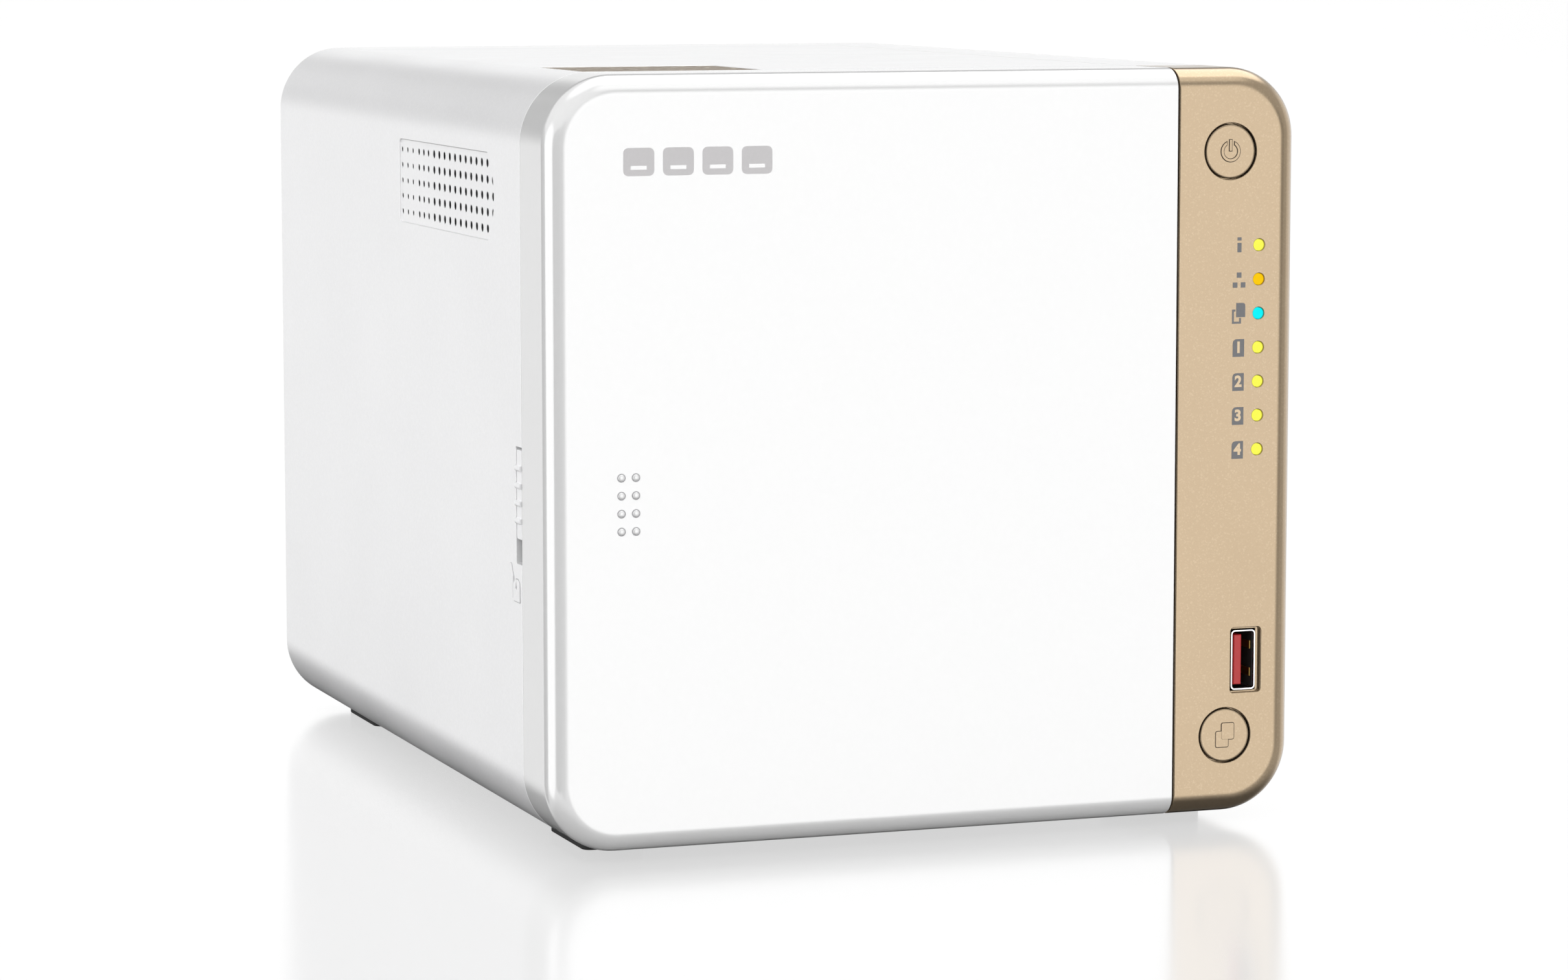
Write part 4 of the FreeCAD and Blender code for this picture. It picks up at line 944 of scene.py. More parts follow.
@dataclass
class Casing:
    """The two body shells, the plate on top and the feet."""

    corner: float = 15.0
    wall: float = 2.4
    vent_z: float = 138.0
    vent_half: float = 9.35
    vent_rear: float = 0.5
    vent_depth: float = 0.4
    vent_bow: float = 11.65
    row_pitch: float = 3.5
    columns: Sequence[tuple[float, float, int, float]] = (
        (0.575, -0.7, 3, -4.4), (0.715, -14.5, 3, -3.85), (0.895, -26.8, 11, -4.16))
    last_column: float = -72.6
    boss_inset: float = 8.4
    shell: Extent = field(default_factory=lambda: Extent.of("main_shell"))
    other: Extent = field(default_factory=lambda: Extent.of("side_shell"))

    def build(self) -> None:
        """Make every piece of the casing."""
        self.main_shell()
        self.side_shell()
        self.padlock_mark()
        self.nameplate()
        self.feet()

    def half_tube(self, low_x: float, high_x: float, round_x: float) -> Blank:
        """A length of rounded casing, open on the side away from round_x.

        Args:
            low_x: left end.
            high_x: right end.
            round_x: the outer side, whose two long corners are round.

        Returns:
            The blank.
        """
        low, high, wall = self.shell.low, self.shell.high, self.wall
        inner_x = round_x + math.copysign(wall, -round_x)
        open_x = -round_x
        outside = Blank.block((low_x, low.y, low.z), (high_x, high.y, high.z))
        outside.round_edges(along(Axis.Y, x=round_x), self.corner, 20)
        inside = Blank.block((min(inner_x, open_x), low.y - 5, low.z + wall),
                             (max(inner_x, open_x), high.y + 5, high.z - wall))
        inside.round_edges(along(Axis.Y, x=inner_x), self.corner - wall, 20)
        return outside.cut(inside)

    def main_shell(self) -> None:
        """Left side, top and bottom, with the vent and the lock slot."""
        low, high = self.shell.low, self.shell.high
        lock = Extent.of("cover_lock")
        shell = self.half_tube(low.x, high.x, low.x)
        recess = Blank.plate(Axis.X, self.vent_outline(), low.x - 1, low.x + self.vent_depth)
        recess.round_edges(along(Axis.X, y=self.vent_rear), 1.2, 4)
        slot = Blank.block((low.x - 1, low.y - 1, lock.low.z - 3.3),
                           (low.x + self.wall + 0.5, low.y + 4.1, lock.high.z - 1.45))
        slot.round_edges(along(Axis.X, y=low.y + 4.1), 0.5, 3)
        plate = Extent.of("top_nameplate")
        pocket = Blank.block((plate.low.x - 0.2, plate.low.y - 0.2, plate.low.z),
                             (plate.high.x + 0.2, plate.high.y + 0.2, high.z + 1))
        pocket.round_edges(along(Axis.Z), 1.2, 4)
        shell.cut(recess, slot, pocket)
        shell.cut(*self.vent_holes())
        self.vent_liner()
        shell.join(*self.ribs(), *self.bosses(-1))
        shell.piece("main_shell_panel", SHELL, "shell_plastic", replaces=["main_shell"],
                    edge=0.12)

    def vent_outline(self) -> Outline:
        """Recess outline in Y and Z: square at the rear, bowed at the front.

        Returns:
            Its (y, z) corners.
        """
        front = self.vent_rear - 75.0
        centre = front + self.vent_bow
        swing = math.asin(self.vent_half / self.vent_bow)
        outline = [(self.vent_rear, self.vent_z - self.vent_half),
                   (self.vent_rear, self.vent_z + self.vent_half)]
        for step in range(13):
            angle = math.pi - swing + step * swing / 6
            outline.append((centre + self.vent_bow * math.cos(angle),
                            self.vent_z + self.vent_bow * math.sin(angle)))
        return outline

    def vent_places(self) -> list[tuple[float, float, float]]:
        """Y, Z and radius of every hole.

        Returns:
            One entry for each hole.
        """
        places = [(first + step * pitch, self.vent_z + row * self.row_pitch, radius)
                  for radius, first, count, pitch in self.columns
                  for step in range(count) for row in range(-2, 3)]
        radius = self.columns[-1][0]
        places += [(self.last_column, self.vent_z + row * self.row_pitch, radius)
                   for row in range(-1, 2)]
        return places

    def vent_holes(self) -> list[Blank]:
        """One round cutter per hole.

        Returns:
            The cutters.
        """
        start = self.shell.low.x - 1
        return [Blank.rod(Axis.X, (start, y, z), radius, self.wall + 2, 16)
                for y, z, radius in self.vent_places()]

    def vent_liner(self) -> None:
        """Black plate behind the vent with a thin black sleeve lining each hole, painted shade
        inside the holes.
        """
        inner = self.shell.low.x + self.wall
        surface = self.shell.low.x + self.vent_depth
        plate = Blank.block((inner, self.vent_rear - 75, self.vent_z - self.vent_half),
                            (inner + 0.8, self.vent_rear, self.vent_z + self.vent_half))
        plate.cut(*[Blank.rod(Axis.X, (inner - 1, y, z), radius - 0.12, 3, 12)
                    for y, z, radius in self.vent_places()])
        # Painted shade: each black sleeve lines a hole's wall so that the hole looks shaded inside.
        for y, z, radius in self.vent_places():
            length = inner - surface - 0.12
            plate.join(Blank.turned(Axis.X, (surface + 0.12, y, z), [
                (radius - 0.02, 0), (radius - 0.02, length), (radius - 0.12, length),
                (radius - 0.12, 0), (radius - 0.02, 0)], 16))
        plate.piece("vent_shade_backing", VENT_SHADE, "black_plastic", edge=0.0)

    def ribs(self) -> list[Blank]:
        """Two ribs on the floor that carry the drive cage, and their bosses.

        Returns:
            The ribs and bosses.
        """
        cage = Extent.of("drive_cage")
        floor = self.shell.low.z + self.wall
        made = []
        for x in (-60.0, 40.0):
            made.append(Blank.block((x - 1, cage.low.y + 4, floor - 0.4),
                                    (x + 1, cage.high.y - 9, cage.low.z)))
            for y in (-70.0, 40.0):
                start = (x, y, floor - 0.4)
                made.append(Blank.rod(Axis.Z, start, 3.5, cage.low.z - floor + 0.35, 24))
        return made

    def bosses(self, side: int) -> list[Blank]:
        """Two bosses in the rear corners of one side for the panel's screws.

        Args:
            side: -1 for the left side, 1 for the right.

        Returns:
            The bosses.
        """
        panel = Extent.of("rear_panel")
        x = side * (self.other.high.x - self.boss_inset)
        heights = (self.shell.low.z + self.boss_inset, self.shell.high.z - self.boss_inset)
        made = []
        for z in heights:
            boss = Blank.rod(Axis.Y, (x, panel.low.y - 12, z), 4.0, 12.0, 24)
            boss.cut(Blank.rod(Axis.Y, (x, panel.low.y - 11, z), 1.4, 12.0, 16))
            made.append(boss)
        return made

    def side_shell(self) -> None:
        """Right side, closing the main shell."""
        low, high = self.other.low, self.other.high
        shell = self.half_tube(low.x, high.x, high.x)
        shell.join(*self.bosses(1))
        shell.piece("side_shell_panel", SHELL, "shell_plastic", replaces=["side_shell"],
                    edge=0.12)

    def padlock_mark(self) -> None:
        """Open-padlock sign below the lock, with a grey outline round it that is painted shade at
        its raised edges.
        """
        self.padlock(0.0, 0.3).piece("padlock_mark", SHELL, "shell_plastic", edge=0.1)
        # Painted shade: the grey outline stands for the shade at the sign's raised edges.
        self.padlock(0.16, 0.03).piece("padlock_shade_outline", PAINTED_SHADE_LINE, "shell_plastic", edge=0.0)

    def padlock(self, grow: float, proud: float) -> Blank:
        """Arched body and raised shackle.

        Args:
            grow: how far its outline is pushed out.
            proud: how far it stands off the wall.

        Returns:
            The sign as one closed shape.
        """
        face, seam = self.shell.low.x, self.shell.low.y
        left, right, foot, spring = seam + 5.6, seam + 1.3, 53.5, 56.6
        middle, reach = (left + right) / 2, (left - right) / 2 + grow
        outline = [(middle - reach, foot - grow), (middle + reach, foot - grow)]
        for step in range(11):
            angle = step * math.pi / 10
            outline.append((middle + reach * math.cos(angle),
                            spring + reach * math.sin(angle) * 0.8))
        body = Blank.plate(Axis.X, outline, face - proud, face + 0.2)
        keyhole = Blank.plate(Axis.X, [(middle - 0.75 + grow, 56.2), (middle + 0.75 - grow, 56.2),
                                       (middle + 0.1, 57.6), (middle - 0.1, 57.6)],
                              face - 1, face + 0.1)
        body.cut(keyhole)
        inner, outer = left + 0.35 - grow, left + 1.0 + grow
        upright = Blank.block((face - proud, inner, foot + 0.6), (face + 0.2, outer, foot + 5.2))
        slant = Blank.block((face - proud, inner, foot + 5.2), (face + 0.2, outer, foot + 7.8))
        slant.shear(lambda co: Vector((0, (co.z - foot - 5.2) * 0.6, 0)))
        return body.join(upright, slant)

    def nameplate(self) -> None:
        """Thin foil plate let into the top."""
        box = Extent.of("top_nameplate")
        plate = Blank.block(box.low, box.high)
        plate.round_edges(along(Axis.Z), 1.0, 4)
        plate.piece("top_plate", BRONZE, "bronze_foil", replaces=["top_nameplate"], edge=0.08)

    def feet(self) -> None:
        """Rubber pads with round corners and a soft lower edge."""
        box = Extent.of("rubber_feet")
        pads = Blank()
        for x in (box.low.x - 2.0, box.high.x - 12.0):
            for y in (box.low.y - 3.5, box.high.y - 25.0):
                pad = Blank.block((x, y, 0), (x + 14, y + 25, box.high.z + 0.6))
                pad.round_edges(along(Axis.Z), 2.0, 6).round_edges(rim(Axis.Z, 0.0), 0.2, 2)
                pads.join(pad)
        pads.piece("rubber_feet_pads", RUBBER, "black_rubber", replaces=["rubber_feet"])


@dataclass
class FrontCover:
    """The gloss cover with its grip dots and printed mark."""

    corner: float = 15.0
    wall: float = 1.8
    front_wall: float = 2.4
    front_round: float = 4.6
    lean: float = 2.0
    box: Extent = field(default_factory=lambda: Extent.of("front_cover"))
    seam: float = -93.7
    front: float = -113.0

    def build(self) -> None:
        """Make the cover, its tabs and dots, and the mark."""
        self.cover()
        self.dot_lines()
        self.mark()

    def cover(self) -> None:
        """Shell with round front edges; its right side leans inwards."""
        low, high = self.box.low, self.box.high
        outside = Blank.block((low.x, self.front, low.z), (high.x, self.seam, high.z))
        outside.round_edges(along(Axis.Y, x=low.x), self.corner, 20)
        outside.round_edges(rim(Axis.Y, self.front, Axis.X, high.x), self.front_round, 8)
        depth = self.seam - self.front

        def lean(co: Vector) -> Vector:
            """Leftward shift of the right side, more towards the seam."""
            shift = self.lean * (co.y - self.front) / depth
            return Vector((-shift, 0, 0)) if co.x > high.x - 0.01 else Vector()

        outside.shear(lean)
        inside = Blank.block((low.x + self.wall, self.front + self.front_wall, low.z + self.wall),
                             (high.x - self.lean, self.seam + 5, high.z - self.wall))
        inside.round_edges(along(Axis.Y, x=low.x + self.wall), self.corner - self.wall, 20)
        outside.cut(inside)
        outside.cut(Blank.block((high.x - 3, self.front + 4.4, low.z + self.wall),
                                (high.x + 4, self.seam + 5, high.z - self.wall)))
        outside.join(*self.tabs(), *self.dots())
        outside.piece("front_cover_panel", COVER, "cover_plastic", "front_cover",
                      ["front_cover"], 0.15)

    def tabs(self) -> list[Blank]:
        """Six locating tabs behind the face.

        Returns:
            The tabs.
        """
        return [Blank.block((x - 5, self.front + self.front_wall - 0.1, z - 0.8),
                            (x + 5, -96.0, z + 0.8)).round_edges(rim(Axis.Y, -96.0), 0.3, 2)
                for x in TAB_X for z in TAB_Z]

    def dots(self) -> list[Blank]:
        """Eight small raised dots with soft tops."""
        top = [(0.0, -0.35), (0.35, -0.33), (0.6, -0.25), (0.72, -0.1), (0.75, 0.0), (0.75, 0.3),
               (0.0, 0.3)]
        return [Blank.turned(Axis.Y, place, top, 24) for place in self.dot_places()]

    def dot_places(self) -> list[Point]:
        """Centres of the dots on the front face."""
        return [(x, self.front, 75.97 + 3.75 * row)
                for x in (-69.25, -66.08) for row in (-1.5, -0.5, 0.5, 1.5)]

    def dot_lines(self) -> None:
        """Thin grey ring round each dot: painted shade at the dot's raised edge."""
        # Painted shade: the grey rings stand for the shade round the raised dots.
        ring = [(0.74, -0.03), (0.92, -0.03), (0.92, 0.1), (0.74, 0.1), (0.74, -0.03)]
        lines = Blank().join(*[Blank.turned(Axis.Y, place, ring, 24)
                               for place in self.dot_places()])
        lines.piece("dot_lines", PAINTED_SHADE_LINE, "cover_plastic", "front_cover", edge=0.0)

    def mark(self) -> None:
        """Printed row of four rounded bars, one for each bay."""
        left, right, low, high, gap = -68.6, -36.0, 144.1, 149.9, 1.9
        width = (right - left - 3 * gap) / 4
        mark = Blank()
        for bay in BAYS:
            x = left + bay * (width + gap)
            bar = Blank.block((x, self.front - 0.03, low), (x + width, self.front + 0.05, high))
            bar.round_edges(along(Axis.Y), 1.1, 5)
            bar.cut(Blank.block((x + 1.6, self.front - 1, low + 1.3),
                                (x + width - 1.6, self.front + 1, low + 2.1)))
            mark.join(bar)
        mark.piece("bay_mark", MARK_INK, "cover_plastic", "front_cover", edge=0.0)


@dataclass
class CoverLock:
    """Ridged slider at the seam."""

    pitch: float = 3.73
    box: Extent = field(default_factory=lambda: Extent.of("cover_lock"))

    def build(self) -> None:
        """Thumb block with four ridges, and the flange behind the wall, dark as painted shade in
        the gap round the slider.
        """
        low, high = self.box.low, self.box.high
        face, front = -85.0, low.y
        bottom, top = low.z + 2, high.z - 2
        block = Blank.block((face, front, bottom), (face + 3.4, front + 3.3, top))
        block.round_edges(along(Axis.X, y=front + 3.3), 0.45, 3)
        for step in range(4):
            z = top - 3.9 - step * self.pitch
            ridge = Blank.block((face - 0.5, front, z - 0.6), (face + 0.5, front + 3.7, z + 0.6))
            block.join(ridge.round_edges(along(Axis.Y, x=face - 0.5), 0.4, 3))
        # Painted shade: the flange is dark so that the gap round the slider looks shaded.
        flange = Blank.block((face + 2.7, front, low.z), (face + 3.9, high.y, high.z))
        flange.piece("lock_flange_shade", SHADOW, "lock_plastic", "cover_lock", edge=0.05)
        block.piece("lock_slider", LOCK, "lock_plastic", "cover_lock", ["cover_lock"], 0.1)


# ---------------------------------------------------------------- gold strip

class Glyph(Enum):
    """Raised sign on a round button."""

    POWER = "power"
    COPY = "copy"


@dataclass
class ControlStrip:
    """The gold strip with its buttons, lights, icons and socket."""

    corner: float = 15.0
    wall: float = 2.4
    front_round: float = 4.6
    lean: float = 2.0
    front: float = -113.0
    seam: float = -93.7
    button_x: float = 68.9
    button_radius: float = 5.85
    power_z: float = 147.0
    copy_z: float = 19.7
    lens_x: float = 75.9
    lens_top: float = 126.7
    lens_pitch: float = 7.4
    icon_x: float = 71.2
    box: Extent = field(default_factory=lambda: Extent.of("control_fascia"))

    def build(self) -> None:
        """Make every piece of the strip."""
        self.fascia()
        self.button("power_button", self.power_z, Glyph.POWER)
        self.button("copy_button", self.copy_z, Glyph.COPY)
        self.lenses()
        self.icons()
        self.usb_socket()

    def fascia(self) -> None:
        """Strip with round front edges and openings."""
        low, high = self.box.low, self.box.high
        face_x = low.x + self.lean
        outside = Blank.block((face_x, self.front, low.z), (high.x, self.seam, high.z))
        outside.round_edges(along(Axis.Y, x=high.x), self.corner, 20)
        outside.round_edges(rim(Axis.Y, self.front, Axis.X, face_x), self.front_round, 8)
        depth = self.seam - self.front

        def lean(co: Vector) -> Vector:
            """Leftward shift of the left side, more towards the seam."""
            shift = self.lean * (co.y - self.front) / depth
            return Vector((-shift, 0, 0)) if co.x < face_x + 0.01 else Vector()

        outside.shear(lean)
        inside = Blank.block((face_x + 2.2, self.front + self.wall, low.z + self.wall),
                             (high.x - self.wall, self.seam + 5, high.z - self.wall))
        inside.round_edges(along(Axis.Y, x=high.x - self.wall), self.corner - self.wall, 20)
        outside.cut(inside)
        start = self.front - 1
        holes = [Blank.rod(Axis.Y, (self.button_x, start, z), self.button_radius + 0.3, 5.0, 72)
                 for z in (self.power_z, self.copy_z)]
        holes += [Blank.rod(Axis.Y, (self.lens_x, start, self.lens_z(i)), 1.325, 5.0, 24)
                  for i in range(7)]
        mouth = Blank.block((70.1, start, 28.9), (77.3, self.front + 4, 43.3))
        holes.append(mouth.round_edges(along(Axis.Y), 0.8, 4))
        outside.cut(*holes)
        tongue = Blank.block((high.x - self.wall - 1.5, self.seam - 9.8, 25.0),
                             (high.x - self.wall, self.box.high.y, 143.0))
        bosses = [Blank.rod(Axis.Y, (64.0, self.front + 2.2, z), 2.5, 10.8, 24)
                  for z in (137.0, 57.0)]
        usb = Extent.of("front_usb_shell")
        bezel = Blank.block((70.0, self.front + 0.95, 28.8), (77.4, self.front + 2.55, 43.4))
        bezel.cut(Blank.block((usb.low.x - 0.12, start, usb.low.z - 0.12),
                              (usb.high.x + 0.12, self.front + 4, usb.high.z + 0.12)))
        outside.join(tongue, bezel, *bosses)
        outside.piece("gold_strip", GOLD, "gold_paint", replaces=["control_fascia"], edge=0.18)

    def lens_z(self, index: int) -> float:
        """Height of one light, counted from the top."""
        return self.lens_top - self.lens_pitch * index

    def button(self, name: str, z: float, glyph: Glyph) -> None:
        """Round button with a soft rim, collar and stem, and a dark painted shade outline round its
        raised sign.

        Args:
            name: the framed node and body.
            z: height of its centre.
            glyph: the sign raised on its face.
        """
        radius = self.button_radius
        face, collar = self.front + 0.1, self.front + 2.7
        stem = Extent.of(name).high.y
        centre = (self.button_x, 0.0, z)
        profile = [(0, face), (radius - 0.5, face), (radius - 0.35, face),
                   (radius - 0.1, face + 0.1), (radius, face + 0.35), (radius, collar),
                   (radius + 1.2, collar), (radius + 1.2, collar + 1), (2, collar + 1),
                   (2, stem), (0, stem)]
        cap = Blank.turned(Axis.Y, centre, profile, 72)
        sign = self.power_sign if glyph is Glyph.POWER else self.copy_sign
        cap.join(*sign(z, 0.0, 0.15))
        cap.piece(name + "_cap", GOLD, "gold_paint", name, [name], 0.06)
        # Painted shade: a dark outline round the raised sign stands for the shade at its edges.
        line = Blank().join(*sign(z, 0.13, 0.03))
        line.piece(name + "_sign_shade_outline", PAINTED_SIGN_SHADE, "gold_paint", name, edge=0.0)

    def power_sign(self, z: float, grow: float, proud: float) -> list[Blank]:
        """Open ring with a bar at its gap.

        Args:
            z: height of the button's centre.
            grow: how far its outline is pushed out.
            proud: how far it stands off the face.

        Returns:
            The ring and the bar.
        """
        face, inner, outer = self.front + 0.1, 1.65 - grow, 2.25 + grow
        ring = Blank.turned(Axis.Y, (self.button_x, face, z), [
            (inner, 0.1), (inner, -proud), (outer, -proud), (outer, 0.1), (inner, 0.1)], 48)
        gap = Blank.block((self.button_x - 0.9 + grow, face - 1, z + 0.8),
                          (self.button_x + 0.9 - grow, face + 1, z + 3))
        bar = Blank.block((self.button_x - 0.3 - grow, face - proud, z + 0.1 - grow),
                          (self.button_x + 0.3 + grow, face + 0.1, z + 2.5 + grow))
        return [ring.cut(gap), bar]

    def copy_sign(self, z: float, grow: float, proud: float) -> list[Blank]:
        """Two overlapping pages.

        Args:
            z: height of the button's centre.
            grow: how far their outlines are pushed out.
            proud: how far the front page stands off the face.

        Returns:
            The front and the back page.
        """
        face, x = self.front + 0.1, self.button_x
        front = Blank.block((x - 0.75 - grow, face - proud, z - 0.9 - grow),
                            (x + 2.2 + grow, face + 0.1, z + 2.7 + grow))
        front.round_edges(along(Axis.Y), 0.35 + grow, 3)
        back = Blank.block((x - 2.1 - grow, face - proud * 0.6, z - 2.6 - grow),
                           (x + 0.9 + grow, face + 0.1, z + 0.9 + grow))
        back.round_edges(along(Axis.Y), 0.35 + grow, 3)
        return [front, back]

    def lenses(self) -> None:
        """Domed light guides."""
        groups = (("status_lens", (0,), YELLOW, "lens_status"),
                  ("network_lens", (1,), AMBER, "lens_network"),
                  ("usb_lens", (2,), CYAN, "lens_usb"),
                  ("drive_lenses", (3, 4, 5, 6), YELLOW, "lens_drives"))
        for node, indices, finish, slot in groups:
            rear = Extent.of(node).high.y
            guides = Blank()
            for i in indices:
                centre = (self.lens_x, 0.0, self.lens_z(i))
                guides.join(Blank.turned(Axis.Y, centre, [
                    (0, self.front), (0.7, self.front + 0.03), (1.1, self.front + 0.12),
                    (1.225, self.front + 0.3), (1.225, rear), (0, rear)], 28))
            guides.piece(node + "_guides", finish, slot, replaces=[node], edge=0.0)

    def tile(self, x: float, z: float, width: float, height: float,
             corners: float = 0.0) -> Blank:
        """A printed rectangle on the strip, from its lower left corner.

        Args:
            x: left side.
            z: lower side.
            width: its width.
            height: its height.
            corners: radius of the upper left corner.

        Returns:
            The blank.
        """
        made = Blank.block((x, self.front - 0.03, z), (x + width, self.front + 0.05, z + height))
        if corners:
            made.round_edges(along(Axis.Y, x=x, z=z + height), corners, 4)
        return made

    def icons(self) -> None:
        """Signs beside the lights: status, network, copy and drives 1 to 4."""
        x, z = self.icon_x, self.lens_z(0)
        signs = Blank().join(self.tile(x - 0.48, z - 1.5, 0.96, 2.05),
                             self.tile(x - 0.48, z + 1.05, 0.96, 0.7))
        z = self.lens_z(1)
        signs.join(self.tile(x - 0.56, z + 0.4, 1.1, 1.15), self.tile(x - 1.5, z - 1.75, 1.1, 1.15),
                   self.tile(x + 0.4, z - 1.75, 1.1, 1.15))
        z = self.lens_z(2)
        page = self.tile(x - 0.62, z - 0.75, 2.15, 3.1)
        page.round_edges(along(Axis.Y, x=x + 1.53, z=z + 2.35), 0.6, 4)
        signs.join(page, self.tile(x - 1.6, z - 2.15, 2.15, 0.45),
                   self.tile(x - 1.6, z - 1.7, 0.45, 2.65),
                   self.tile(x - 1.15, z + 0.5, 0.35, 0.45),
                   self.tile(x + 0.1, z - 1.7, 0.45, 0.8))
        figures = Blank()
        for drive in BAYS:
            z = self.lens_z(3 + drive)
            signs.join(self.tile(x - 1.36, z - 1.95, 2.72, 3.85, 0.9))
            figure = Blank.text(str(drive + 1), 3.3, 0.13)
            figures.join(figure.move((x, self.front - 0.04, z)))
        signs.piece("strip_signs", GREY_INK, "gold_paint", edge=0.0)
        figures.piece("drive_figures", FIGURE_INK, "gold_paint", edge=0.0)

    def usb_socket(self) -> None:
        """Bright sleeve, red tongue with its contacts, two spring leaves, and a dark strip on the
        right inner wall and at the back, painted shade inside the socket.
        """
        box = Extent.of("front_usb_shell")
        low, high = box.low, box.high
        wall = 0.35
        sleeve = Blank.block(low, high).round_edges(along(Axis.Y), 0.9, 5)
        hollow = Blank.block((low.x + wall, low.y - 1, low.z + wall),
                             (high.x - wall, high.y - 1.5, high.z - wall))
        sleeve.cut(hollow.round_edges(along(Axis.Y), 0.6, 5))
        sleeve.piece("front_usb_sleeve", BRIGHT, "bright_steel", replaces=["front_usb_shell"],
                     edge=0.08)
        tongue_box = Extent.of("front_usb_tongue")
        tongue = Blank.block(tongue_box.low, tongue_box.high)
        tongue.round_edges(rim(Axis.Y, tongue_box.low.y), 0.3, 3)
        tongue.piece("front_usb_bar", RED, "tongue_red", replaces=["front_usb_tongue"], edge=0.05)
        strips = Blank()
        for step in range(4):
            z = box.centre.z - 3.75 + 2.5 * step
            strips.join(Blank.block((tongue_box.high.x - 0.05, low.y + 1.4, z - 0.5),
                                    (tongue_box.high.x + 0.12, high.y - 2, z + 0.5)))
        strips.piece("front_usb_contacts", CONTACT, "brass_posts", edge=0.04)
        # Painted shade: a dark strip on the right inner wall and a dark back stand for the shade
        # inside the socket.
        shade_liner = Blank.block((high.x - wall - 0.12, low.y + 0.8, low.z + 0.7),
                            (high.x - wall + 0.05, high.y - 1.6, high.z - 0.7))
        back = Blank.block((low.x + wall, high.y - 1.9, low.z + wall),
                           (high.x - wall, high.y - 1.45, high.z - wall))
        shade_liner.join(back)
        shade_liner.piece("front_usb_shade_liner", SHADOW, "black_plastic", edge=0.0)
        leaves = Blank()
        for z in (box.centre.z - 3.0, box.centre.z + 3.0):
            leaf = Blank.block((high.x - wall - 0.35, low.y + 1.6, z - 0.9),
                               (high.x - wall - 0.1, low.y + 6.5, z + 0.9))
            leaves.join(leaf.round_edges(along(Axis.Z, x=high.x - wall - 0.35), 0.12, 2))
        leaves.piece("front_usb_springs", BRASS, "brass_posts", edge=0.04)


# ---------------------------------------------------------------- bays

